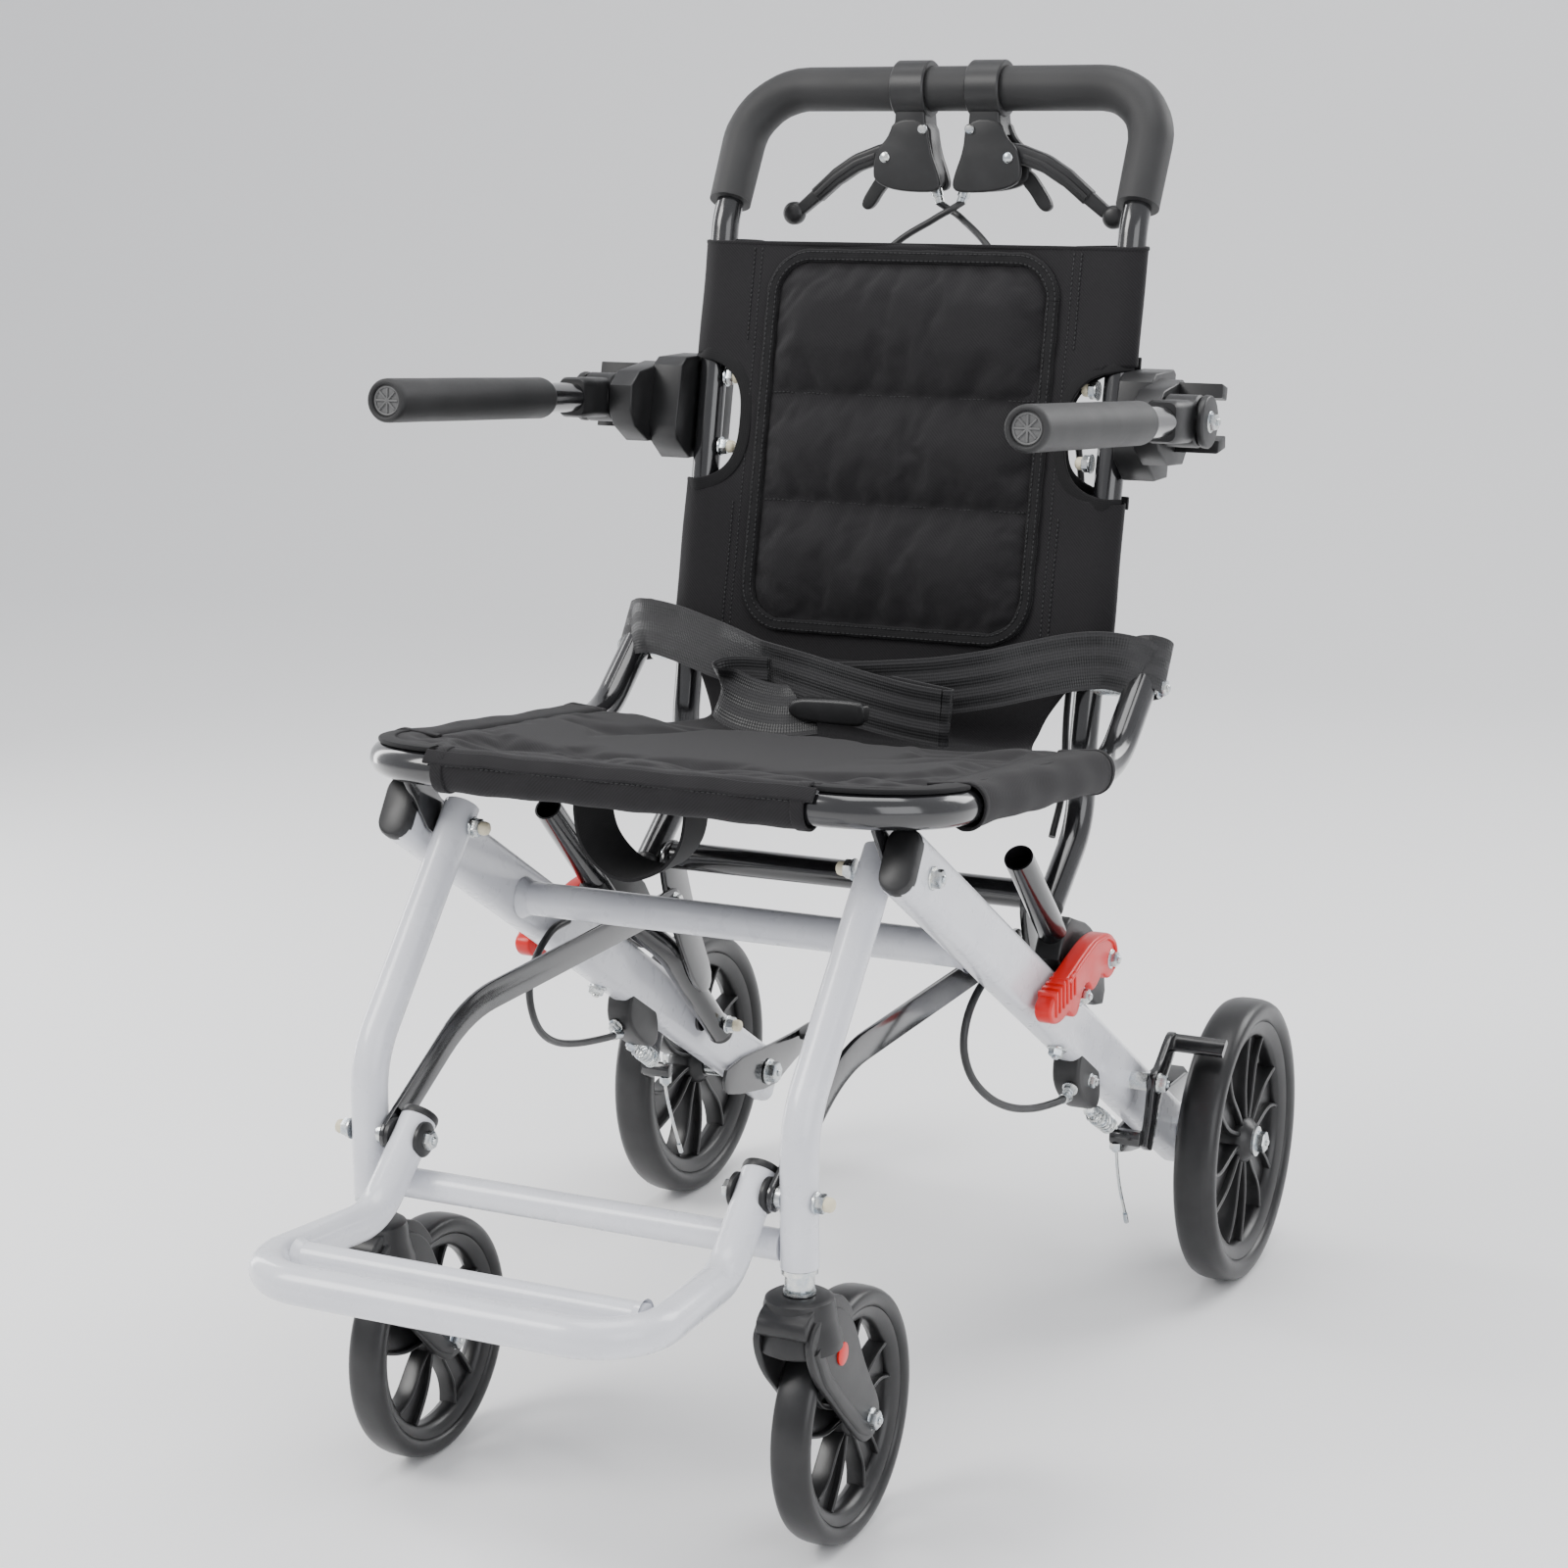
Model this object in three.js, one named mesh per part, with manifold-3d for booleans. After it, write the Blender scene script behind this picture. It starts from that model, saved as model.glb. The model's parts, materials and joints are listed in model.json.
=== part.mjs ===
// Folding transport wheelchair, millimetres, +Z up, front towards -Y, origin on the floor under the middle.
import * as THREE from 'three';
import Module from 'manifold-3d';
import { mergeVertices } from 'three/addons/utils/BufferGeometryUtils.js';

const wasm = await Module();
wasm.setup();

// ---------------------------------------------------------------- driving dimensions
// Heights are above the floor. Distances along Y count from the rear axle, and Y_OFFSET centres the whole.
const Y_OFFSET = 315;
const GAP = 0.3;
const BORE_CLEARANCE = 0.5;
const SIDES = 12;
const BEND_STEPS = 4;

const REAR_WHEEL = { x: 217, y: 0, z: 100, radius: 100, width: 30, spokes: 6 };
const CASTER_WHEEL = { x: 140, y: -501, z: 75, radius: 75, width: 24, spokes: 5 };
const STEM_Y = -558;
const STEM_TOP = 184;
const CROWN_TOP = 169;

const STAY = { x: 165, width: 20, height: 39, slope: THREE.MathUtils.degToRad(32), lift: 2 };
const STAY_TOP_REACH = -562;
const STAY_END_REACH = 26;
const LEG = { x: 140, radius: 11 };
const LEG_BEND = { y: -558, z: 268 };
const SEAT = { x: 186, radius: 10.5, frontY: -500, frontZ: 432, rearY: -190, rearZ: 402, corner: 60 };
const BACK = { x: 147, radius: 9.4 };
const GRIP_RADIUS = 15;
const HANDLE = { x: 149.5, y: -17, z: 826, bendY: -66, bendZ: 738, corner: 50 };
const LINK = { lowerX: 143, upperX: 165.8, radius: 9, angle: THREE.MathUtils.degToRad(134.7), reach: 276 };
const ARM = { x: 210.2, radius: 10, foamRadius: 13.6, tipY: -412, tipZ: 638 };
const FOOTREST = { x: 112, frontX: 123, radius: 11, z: 192, frontY: -719, corner: 36 };
const BRACE = { x: 126, thickness: 3, width: 18 };

// Pivots, each an axis parallel to X given by its Y and Z.
const stayPoint = (reach) => ({
  y: reach * Math.cos(STAY.slope),
  z: REAR_WHEEL.z + STAY.lift - reach * Math.sin(STAY.slope),
});
const LEG_PIVOT = stayPoint(-538);
const LINK_PIVOT = stayPoint(-124);
const AXLE = { y: REAR_WHEEL.y, z: REAR_WHEEL.z };
const BACK_PIVOT = { y: -131, z: 444 };
const KNEE = { y: -190, z: 312 };
const BRACE_END = { y: -200, z: 282 };
const FOOT_PIVOT = { y: -560, z: 224 };
const LATCH_PIVOT = { y: -196, z: 277 };
const LATCH_PIN = { y: -242, z: 264 };
const ARM_PIVOT = { y: -134, z: 618 };
const LEVER_PIVOT = { x: 45.5, z: 780 };

const root = new THREE.Group();
root.name = 'transport_wheelchair';
root.position.y = Y_OFFSET;

const finishes = {
  silver: { color: 0xd9dadf, roughness: 0.35, metalness: 0.3 },
  black: { color: 0x141416, roughness: 0.25, metalness: 0.3 },
  plastic: { color: 0x1b1b1d, roughness: 0.55, metalness: 0 },
  red: { color: 0xd81a12, roughness: 0.4, metalness: 0 },
  steel: { color: 0xb9c0c6, roughness: 0.3, metalness: 1 },
  rubber: { color: 0x17171a, roughness: 0.45, metalness: 0 },
  foam: { color: 0x202022, roughness: 0.8, metalness: 0 },
  fabric: { color: 0x2b292c, roughness: 0.9, metalness: 0 },
};

// ---------------------------------------------------------------- shape helpers
function toSolid(geometry) {
  const bare = geometry.clone();
  bare.deleteAttribute('normal');
  bare.deleteAttribute('uv');
  const merged = mergeVertices(bare, 1e-4);
  const vertProperties = new Float32Array(merged.attributes.position.array);
  const triVerts = new Uint32Array(merged.index.array);
  return new wasm.Manifold(new wasm.Mesh({ numProp: 3, vertProperties, triVerts }));
}

function toGeometry(solid) {
  const mesh = solid.getMesh();
  const geometry = new THREE.BufferGeometry();
  geometry.setAttribute('position', new THREE.BufferAttribute(new Float32Array(mesh.vertProperties), 3));
  geometry.setIndex(new THREE.BufferAttribute(new Uint32Array(mesh.triVerts), 1));
  geometry.computeVertexNormals();
  return geometry;
}

function join(first, ...others) {
  return toGeometry(others.reduce((solid, other) => solid.add(toSolid(other)), toSolid(first)));
}

function cut(first, ...others) {
  return toGeometry(others.reduce((solid, other) => solid.subtract(toSolid(other)), toSolid(first)));
}

/** The same shape on the other side of the X = 0 plane, with its faces still pointing out. */
function mirrored(geometry) {
  const copy = geometry.index ? geometry.clone() : mergeVertices(geometry.clone(), 1e-4);
  copy.scale(-1, 1, 1);
  const index = copy.index.array;
  for (let i = 0; i < index.length; i += 3) {
    [index[i], index[i + 1]] = [index[i + 1], index[i]];
  }
  return copy;
}

/** A path of straight runs joined by round bends, sampled only where it bends. */
class BentPath extends THREE.Curve {
  constructor(corners, bendRadius) {
    super();
    const points = corners.map((corner) => new THREE.Vector3(...corner));
    this.knots = [points[0]];
    for (let i = 1; i < points.length - 1; i += 1) {
      this.knots.push(...bendKnots(points[i - 1], points[i], points[i + 1], bendRadius));
    }
    this.knots.push(points[points.length - 1]);
  }

  get steps() {
    return this.knots.length - 1;
  }

  getPointAt(u) {
    return this.knots[Math.round(u * this.steps)].clone();
  }

  getTangentAt(u) {
    const i = Math.round(u * this.steps);
    const before = this.knots[Math.max(i - 1, 0)];
    const here = this.knots[i];
    const after = this.knots[Math.min(i + 1, this.steps)];
    const arriving = here.clone().sub(before).normalize();
    const leaving = after.clone().sub(here).normalize();
    return arriving.add(leaving).normalize();
  }
}

/** Points of the arc that rounds one corner of a path. */
function bendKnots(before, corner, after, bendRadius) {
  const back = before.clone().sub(corner).normalize();
  const on = after.clone().sub(corner).normalize();
  const half = back.angleTo(on) / 2;
  const setBack = bendRadius / Math.tan(half);
  const middle = back.clone().add(on).normalize();
  const centre = corner.clone().addScaledVector(middle, bendRadius / Math.sin(half));
  const start = corner.clone().addScaledVector(back, setBack).sub(centre);
  const end = corner.clone().addScaledVector(on, setBack).sub(centre);
  const sweep = start.angleTo(end);
  const axis = start.clone().cross(end).normalize();
  const knots = [];
  for (let i = 0; i <= BEND_STEPS; i += 1) {
    knots.push(start.clone().applyAxisAngle(axis, (sweep * i) / BEND_STEPS).add(centre));
  }
  return knots;
}

function circle(radius, sides = SIDES) {
  const shape = new THREE.Shape();
  for (let i = 0; i < sides; i += 1) {
    const angle = (2 * Math.PI * i) / sides;
    const x = radius * Math.cos(angle);
    const y = radius * Math.sin(angle);
    if (i === 0) {
      shape.moveTo(x, y);
    } else {
      shape.lineTo(x, y);
    }
  }
  return shape;
}

function alongPath(shape, path) {
  return new THREE.ExtrudeGeometry(shape, { steps: path.steps, extrudePath: path, bevelEnabled: false });
}

function bentTube(corners, radius, bendRadius, sides = SIDES) {
  return alongPath(circle(radius, sides), new BentPath(corners, bendRadius));
}

/** A round bar between two X values. */
function pin(x0, x1, { y, z }, radius, sides = SIDES) {
  const geometry = new THREE.CylinderGeometry(radius, radius, x1 - x0, sides);
  geometry.rotateZ(-Math.PI / 2);
  geometry.translate((x0 + x1) / 2, y, z);
  return geometry;
}

/** A flat plate across X, from an outline of [y, z] points. */
function plate(outline, x0, x1) {
  const shape = new THREE.Shape(outline.map(([y, z]) => new THREE.Vector2(y, z)));
  const geometry = new THREE.ExtrudeGeometry(shape, { depth: x1 - x0, bevelEnabled: false });
  const toWorld = new THREE.Matrix4().makeBasis(
    new THREE.Vector3(0, 1, 0),
    new THREE.Vector3(0, 0, 1),
    new THREE.Vector3(1, 0, 0),
  );
  geometry.applyMatrix4(toWorld);
  geometry.translate(x0, 0, 0);
  return geometry;
}

function box(x0, x1, y0, y1, z0, z1) {
  const geometry = new THREE.BoxGeometry(x1 - x0, y1 - y0, z1 - z0);
  geometry.translate((x0 + x1) / 2, (y0 + y1) / 2, (z0 + z1) / 2);
  return geometry;
}

/** Outline of a flat bar of one width through a few [y, z] points, with mitred bends and round ends. */
function barOutline(points, width) {
  const line = points.map(([y, z]) => new THREE.Vector2(y, z));
  const left = [];
  const right = [];
  line.forEach((point, i) => {
    const before = line[Math.max(i - 1, 0)];
    const after = line[Math.min(i + 1, line.length - 1)];
    const arriving = point.clone().sub(before).normalize();
    const leaving = after.clone().sub(point).normalize();
    const along = arriving.clone().add(leaving).normalize();
    const reach = i > 0 && i < line.length - 1 ? 1 / along.dot(leaving) : 1;
    const across = new THREE.Vector2(-along.y, along.x).multiplyScalar((width / 2) * reach);
    left.push(point.clone().add(across));
    right.unshift(point.clone().sub(across));
  });
  const roundEnd = (centre, from) => {
    const knots = [];
    for (let i = 1; i < 5; i += 1) {
      knots.push(from.clone().rotateAround(centre, (-Math.PI * i) / 5));
    }
    return knots;
  };
  const last = line[line.length - 1];
  const farEnd = roundEnd(last, left[left.length - 1]);
  const nearEnd = roundEnd(line[0], right[right.length - 1]);
  const outline = [...left, ...farEnd, ...right, ...nearEnd];
  return outline.map((point) => [point.x, point.y]);
}

/** A hexagon head or nut on an X axis. */
function hexHead(x0, x1, centre, radius = 7) {
  return pin(x0, x1, centre, radius, 6);
}

function addPiece(name, geometry, finish) {
  const mesh = new THREE.Mesh(geometry, new THREE.MeshStandardMaterial(finishes[finish]));
  mesh.name = name;
  root.add(mesh);
}

function addPair(name, geometry, finish) {
  addPiece(`${name}_right`, geometry, finish);
  addPiece(`${name}_left`, mirrored(geometry), finish);
}

// ---------------------------------------------------------------- rear frame
/** A length of flat-oval tube lying along the stay's line, between two reaches from the axle. */
function stayTube(from, to, width, height) {
  const shape = new THREE.Shape();
  const radius = width / 2;
  const flat = height / 2 - radius;
  const arcSteps = 6;
  for (let i = 0; i <= arcSteps; i += 1) {
    const angle = (Math.PI * i) / arcSteps;
    shape.lineTo(radius * Math.cos(angle), flat + radius * Math.sin(angle));
  }
  for (let i = 0; i <= arcSteps; i += 1) {
    const angle = Math.PI + (Math.PI * i) / arcSteps;
    shape.lineTo(radius * Math.cos(angle), -flat + radius * Math.sin(angle));
  }
  shape.curves.shift();
  const geometry = new THREE.ExtrudeGeometry(shape, { depth: to - from, bevelEnabled: false });
  const along = new THREE.Vector3(0, Math.cos(STAY.slope), -Math.sin(STAY.slope));
  const across = new THREE.Vector3(-1, 0, 0);
  const up = along.clone().cross(across);
  geometry.applyMatrix4(new THREE.Matrix4().makeBasis(across, up, along));
  const start = stayPoint(from);
  geometry.translate(STAY.x, start.y, start.z);
  return geometry;
}

const STAY_INNER = STAY.x - STAY.width / 2;
const STAY_OUTER = STAY.x + STAY.width / 2;
const PIN_RADIUS = 4;

function rearStay() {
  const tube = stayTube(STAY_TOP_REACH, STAY_END_REACH, STAY.width, STAY.height);
  const legPin = pin(124, STAY_OUTER + 1, LEG_PIVOT, PIN_RADIUS);
  const legNut = hexHead(123.5, LEG.x - LEG.radius - 0.7, LEG_PIVOT);
  const legHead = hexHead(STAY_OUTER - 1, STAY_OUTER + 5, LEG_PIVOT);
  const linkPin = pin(127, 200, LINK_PIVOT, PIN_RADIUS);
  const linkSpacer = pin(153.5, STAY_INNER + 1, LINK_PIVOT, 8);
  const linkNut = hexHead(126, 131.5, LINK_PIVOT, 6.5);
  const armSpacer = pin(STAY_OUTER - 1, 186, LINK_PIVOT, 7);
  const armHead = hexHead(195, 200, LINK_PIVOT, 6.5);
  const latchPin = pin(STAY_OUTER - 10, 193, LATCH_PIN, PIN_RADIUS);
  const bored = cut(tube, pin(STAY_INNER - 5, STAY_OUTER + 5, AXLE, 5 + BORE_CLEARANCE));
  return join(bored, legPin, legNut, legHead, linkPin, linkSpacer, linkNut, armSpacer, armHead, latchPin);
}

function stayCap() {
  return stayTube(STAY_TOP_REACH - 6, STAY_TOP_REACH - GAP, STAY.width, STAY.height);
}

function tippingPedal() {
  const side = plate(
    [[-74, 108], [-62, 98], [12, 84], [34, 92], [88, 104], [92, 118], [30, 118], [-66, 124]],
    STAY_INNER - 3.5,
    STAY_INNER - GAP,
  );
  const step = box(128, STAY_INNER - 1, 48, 92, 113, 117);
  return cut(join(side, step), pin(150, 165, AXLE, 5 + BORE_CLEARANCE));
}

function axleBolt() {
  const shank = pin(STAY_INNER - 8, 238, AXLE, 5);
  const nut = hexHead(STAY_INNER - 10, STAY_INNER - 3.5 - GAP, AXLE, 9);
  const head = hexHead(REAR_WHEEL.x + 18, REAR_WHEEL.x + 24, AXLE, 9);
  return join(shank, nut, head);
}

/** Clip under the stay that holds the end of the brake cable's sleeve. */
function cableClamp() {
  const outline = [
    [-206, 195], [-196, 178], [-176, 168], [-168, 178],
    [-172, 192], [-178, 205], [-200, 219],
  ];
  const strap = plate(outline, STAY_INNER + 1, STAY_OUTER - 1);
  const room = stayTube(-260, -180, STAY.width + 2 * GAP, STAY.height + 2 * GAP);
  return cut(strap, room);
}

addPair('rear_stay', rearStay(), 'silver');
addPair('stay_cap', stayCap(), 'plastic');
addPair('tipping_pedal', tippingPedal(), 'black');
addPair('axle_bolt', axleBolt(), 'steel');
addPair('cable_clamp', cableClamp(), 'plastic');
addPiece('upper_cross_tube', pin(-STAY_INNER + GAP, STAY_INNER - GAP, { y: -350, z: 316 }, 11), 'silver');

// ---------------------------------------------------------------- wheels
/** A wheel's rim, spokes and hub about an X axis, bored for its axle. */
function wheelRim(wheel, hubRadius, hubWidth, boreRadius) {
  const tyreBed = wheel.radius * 0.84;
  const rimDepth = wheel.radius * 0.11;
  const rimHalf = wheel.width * 0.36;
  const ring = new THREE.LatheGeometry(
    [
      new THREE.Vector2(tyreBed - rimDepth, -rimHalf * 0.7),
      new THREE.Vector2(tyreBed, -rimHalf),
      new THREE.Vector2(tyreBed, rimHalf),
      new THREE.Vector2(tyreBed - rimDepth, rimHalf * 0.7),
      new THREE.Vector2(tyreBed - rimDepth, -rimHalf * 0.7),
    ],
    30,
  );
  const hub = new THREE.CylinderGeometry(hubRadius, hubRadius, hubWidth, 16);
  const spokes = [];
  for (let i = 0; i < wheel.spokes; i += 1) {
    const spoke = new THREE.BoxGeometry(wheel.radius * 0.14, wheel.width * 0.4, tyreBed - rimDepth / 2);
    spoke.translate(0, 0, (tyreBed - rimDepth / 2) / 2);
    spoke.rotateY((2 * Math.PI * i) / wheel.spokes);
    spokes.push(spoke);
  }
  const bore = new THREE.CylinderGeometry(boreRadius, boreRadius, hubWidth + 2, 12);
  const geometry = cut(join(ring, hub, ...spokes), bore);
  geometry.rotateZ(-Math.PI / 2);
  geometry.translate(wheel.x, wheel.y, wheel.z);
  return geometry;
}

function wheelTyre(wheel) {
  const bed = wheel.radius * 0.84 + 2 * GAP;
  const half = wheel.width / 2;
  const geometry = new THREE.LatheGeometry(
    [
      new THREE.Vector2(bed, -half * 0.72),
      new THREE.Vector2(wheel.radius * 0.93, -half),
      new THREE.Vector2(wheel.radius * 0.98, -half * 0.75),
      new THREE.Vector2(wheel.radius, -half * 0.3),
      new THREE.Vector2(wheel.radius, half * 0.3),
      new THREE.Vector2(wheel.radius * 0.98, half * 0.75),
      new THREE.Vector2(wheel.radius * 0.93, half),
      new THREE.Vector2(bed, half * 0.72),
      new THREE.Vector2(bed, -half * 0.72),
    ],
    36,
  );
  geometry.rotateZ(-Math.PI / 2);
  geometry.translate(wheel.x, wheel.y, wheel.z);
  return geometry;
}

addPair('rear_rim', wheelRim(REAR_WHEEL, 19, 34, 5 + BORE_CLEARANCE), 'plastic');
addPair('rear_tyre', wheelTyre(REAR_WHEEL), 'rubber');
addPair('caster_rim', wheelRim(CASTER_WHEEL, 14, 24, 4 + BORE_CLEARANCE), 'plastic');
addPair('caster_tyre', wheelTyre(CASTER_WHEEL), 'rubber');

/** Caster fork: a round crown under the stem, two arms beside the wheel, and the axle between them. */
function casterFork() {
  const crown = new THREE.CylinderGeometry(20, 24, CROWN_TOP - 145, 20);
  crown.rotateX(Math.PI / 2);
  crown.translate(LEG.x, STEM_Y, (CROWN_TOP + 145) / 2);
  const outline = [
    [-576, 162], [-578, 146], [-566, 126], [-512, 70], [-501, 64],
    [-490, 70], [-490, 82], [-516, 126], [-537, 162],
  ];
  const armIn = CASTER_WHEEL.width / 2 + 1.5;
  const armOut = armIn + 4.2;
  const outer = plate(outline, LEG.x + armIn, LEG.x + armOut);
  const inner = plate(outline, LEG.x - armOut, LEG.x - armIn);
  const axle = pin(LEG.x - armOut - 1, LEG.x + armOut + 1, CASTER_WHEEL, 4);
  const socket = new THREE.CylinderGeometry(5 + BORE_CLEARANCE, 5 + BORE_CLEARANCE, 26, 16);
  socket.rotateX(Math.PI / 2);
  socket.translate(LEG.x, STEM_Y, CROWN_TOP - 12);
  return join(cut(join(crown, outer, inner), socket), axle);
}

function casterStem() {
  const shoulder = CROWN_TOP + 0.5;
  const top = STEM_TOP - GAP;
  const profile = [[0, 150], [5, 150], [5, shoulder], [9, shoulder], [9, top], [0, top]];
  const geometry = new THREE.LatheGeometry(profile.map(([r, h]) => new THREE.Vector2(r, h)), 16);
  geometry.rotateX(Math.PI / 2);
  geometry.translate(LEG.x, STEM_Y, 0);
  return geometry;
}

addPair('caster_fork', casterFork(), 'plastic');
addPair('caster_stem', casterStem(), 'steel');

// ---------------------------------------------------------------- front legs
function frontLeg() {
  const upper = new THREE.Vector2(LEG_PIVOT.y - LEG_BEND.y, LEG_PIVOT.z - LEG_BEND.z).normalize();
  const top = [LEG.x, LEG_PIVOT.y + 14 * upper.x, LEG_PIVOT.z + 14 * upper.y];
  const bend = [LEG.x, LEG_BEND.y, LEG_BEND.z];
  const foot = [LEG.x, LEG_BEND.y, STEM_TOP];
  const tube = bentTube([top, bend, foot], LEG.radius, 60);
  const bored = cut(tube, pin(120, 160, LEG_PIVOT, PIN_RADIUS + BORE_CLEARANCE));
  const footPin = pin(98, 160, FOOT_PIVOT, PIN_RADIUS);
  const footHead = hexHead(94, 99.5, FOOT_PIVOT, 6.5);
  const footNut = hexHead(150, 160, FOOT_PIVOT, 6.5);
  return join(bored, footPin, footHead, footNut);
}

const LEG_INNER = LEG.x - LEG.radius;
addPair('front_leg', frontLeg(), 'silver');
addPiece('lower_cross_tube', pin(-LEG_INNER + 1, LEG_INNER - 1, { y: STEM_Y + 1, z: 195 }, 9), 'silver');

function brace() {
  const bar = plate(
    barOutline([[FOOT_PIVOT.y, FOOT_PIVOT.z], [-470, 277], [BRACE_END.y, BRACE_END.z]], BRACE.width),
    BRACE.x - BRACE.thickness / 2,
    BRACE.x + BRACE.thickness / 2,
  );
  const head = hexHead(BRACE.x - 6, BRACE.x, BRACE_END, 6.5);
  return join(cut(bar, pin(120, 130, FOOT_PIVOT, PIN_RADIUS + BORE_CLEARANCE)), head);
}

addPair('brace', brace(), 'black');

// ---------------------------------------------------------------- footrest
function footrestFrame() {
  const side = (sign) => [
    [sign * FOOTREST.x, -549, 232],
    [sign * (FOOTREST.x + 1), -598, FOOTREST.z - 5],
  ];
  const front = (sign) => [sign * FOOTREST.frontX, FOOTREST.frontY, FOOTREST.z + 1];
  const corners = [...side(-1), front(-1), front(1), ...side(1).reverse()];
  const frame = bentTube(corners, FOOTREST.radius, FOOTREST.corner);
  const bar = pin(-FOOTREST.x - 6, FOOTREST.x + 6, { y: -680, z: FOOTREST.z + 1 }, 8);
  const room = PIN_RADIUS + BORE_CLEARANCE;
  const bore = (sign) => pin(sign * FOOTREST.x - 20, sign * FOOTREST.x + 20, FOOT_PIVOT, room);
  return cut(join(frame, bar), bore(1), bore(-1));
}

addPiece('footrest_frame', footrestFrame(), 'silver');

// ---------------------------------------------------------------- folding link and latch
const linkAlong = new THREE.Vector2(Math.cos(LINK.angle), Math.sin(LINK.angle));
const linkPoint = (x, reach, lift = 0) => [
  x,
  LINK_PIVOT.y + reach * linkAlong.x + lift * linkAlong.y,
  LINK_PIVOT.z + reach * linkAlong.y - lift * linkAlong.x,
];

function linkTube() {
  const path = [
    linkPoint(LINK.lowerX, -12),
    linkPoint(LINK.lowerX, 102),
    linkPoint(LINK.upperX, 148),
    linkPoint(LINK.upperX, LINK.reach),
  ];
  const tube = bentTube(path, LINK.radius, 30);
  const mouthEnds = [LINK.reach - 40, LINK.reach + 5].map((reach) => linkPoint(LINK.upperX, reach));
  const mouth = bentTube(mouthEnds, LINK.radius - 1.5, 1);
  const pivotBore = pin(120, 153.4, LINK_PIVOT, PIN_RADIUS + BORE_CLEARANCE);
  const saddle = plate(
    [[-168, 231.5], [-252, 284], [-246, 296], [-226, 302], [-205, 302], [-180, 288], [-160, 250]],
    157.5,
    174.5,
  );
  const kneePlate = plate(
    barOutline([[-142, 205], [BRACE_END.y + 22, BRACE_END.z - 18], [KNEE.y, KNEE.z]], 22),
    129.5,
    135.5,
  );
  const kneeBore = pin(125, 136, KNEE, PIN_RADIUS + BORE_CLEARANCE);
  const latchPin = pin(168, 192, LATCH_PIVOT, PIN_RADIUS);
  const latchHead = hexHead(190.5, 194, LATCH_PIVOT, 6.5);
  return join(cut(join(tube, saddle, kneePlate), mouth, pivotBore, kneeBore), latchPin, latchHead);
}

/** Red hook lever that locks the link down onto the stay. */
function latch() {
  const outline = [
    [-200, 266], [-187, 268], [-184, 278], [-189, 288], [-206, 294], [-232, 292], [-262, 285], [-292, 277],
    [-297, 268], [-289, 260], [-270, 262], [-264, 255], [-256, 255], [-247, 268], [-243, 271], [-235, 271],
    [-232, 265], [-222, 266], [-210, 273],
  ];
  const body = plate(outline.reverse(), 180, 190);
  return cut(body, pin(175, 195, LATCH_PIVOT, PIN_RADIUS + BORE_CLEARANCE));
}

addPair('link_tube', linkTube(), 'black');
addPiece('link_cross_tube', pin(-129.2, 129.2, KNEE, 9.5), 'black');
addPair('latch', latch(), 'red');

// ---------------------------------------------------------------- seat
/** The seat's U-shaped tube, open at the rear, where its ends rise beside the backrest. */
function seatTube(radius) {
  const side = (sign) => [
    [sign * SEAT.x, -115, 464],
    [sign * SEAT.x, SEAT.rearY, SEAT.rearZ],
  ];
  const front = (sign) => [sign * SEAT.x, SEAT.frontY, SEAT.frontZ];
  return bentTube([...side(-1), front(-1), front(1), ...side(1).reverse()], radius, SEAT.corner);
}

function seatFrame() {
  const tube = seatTube(SEAT.radius);
  const tabLine = [
    [LEG_PIVOT.y, LEG_PIVOT.z],
    [LEG_PIVOT.y - 18, SEAT.frontZ - 12],
    [SEAT.frontY + 16, SEAT.frontZ - 4],
  ];
  const tab = (x0, x1) => plate(barOutline(tabLine, 18), x0, x1);
  const tabs = join(tube, tab(151.6, 154.4), tab(-154.4, -151.6));
  const room = PIN_RADIUS + BORE_CLEARANCE;
  const bore = (sign, pivot) => pin(sign * 170 - 32, sign * 170 + 32, pivot, room);
  // The tabs sit over the stay's pins, open at the bottom so that the seat can lift off them.
  const mouth = box(-160, 160, LEG_PIVOT.y - room, LEG_PIVOT.y + room + 3, LEG_PIVOT.z - 20, LEG_PIVOT.z);
  const bores = [BACK_PIVOT, LEG_PIVOT].flatMap((pivot) => [bore(1, pivot), bore(-1, pivot)]);
  return cut(tabs, ...bores, mouth);
}

/** A cloth panel between two tubes, as one flat body from front edge to rear edge. */
function seatSling() {
  const slope = (SEAT.frontZ - SEAT.rearZ) / (SEAT.frontY - SEAT.rearY);
  const heightAt = (y) => SEAT.frontZ + (y - SEAT.frontY) * slope;
  const front = -462;
  const rear = -216;
  const outline = [
    [front, heightAt(front) + 1],
    [rear, heightAt(rear) + 1],
    [rear, heightAt(rear) + 11],
    [front, heightAt(front) + 13],
  ];
  const halfWidth = SEAT.x - SEAT.radius - 0.7;
  return cut(plate(outline, -halfWidth, halfWidth), seatTube(SEAT.radius + 0.7));
}

/** Loop of webbing that hangs under the front of the seat, to pull when folding. */
function pullStrap() {
  const outer = new THREE.Shape();
  const half = 30;
  const top = 427;
  const drop = 377;
  const band = 2.5;
  outer.moveTo(-half, top);
  outer.absarc(0, drop + half, half, Math.PI, 2 * Math.PI, false);
  outer.lineTo(half, top);
  outer.lineTo(half - band, top);
  outer.absarc(0, drop + half, half - band, 2 * Math.PI, Math.PI, true);
  outer.lineTo(-half + band, top);
  outer.closePath();
  const geometry = new THREE.ExtrudeGeometry(outer, { depth: 38, bevelEnabled: false, curveSegments: 10 });
  geometry.rotateX(Math.PI / 2);
  geometry.translate(-4, -446, 0);
  return geometry;
}

addPiece('seat_frame', seatFrame(), 'black');
addPiece('seat_sling', seatSling(), 'fabric');
addPiece('pull_strap', pullStrap(), 'fabric');

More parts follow.
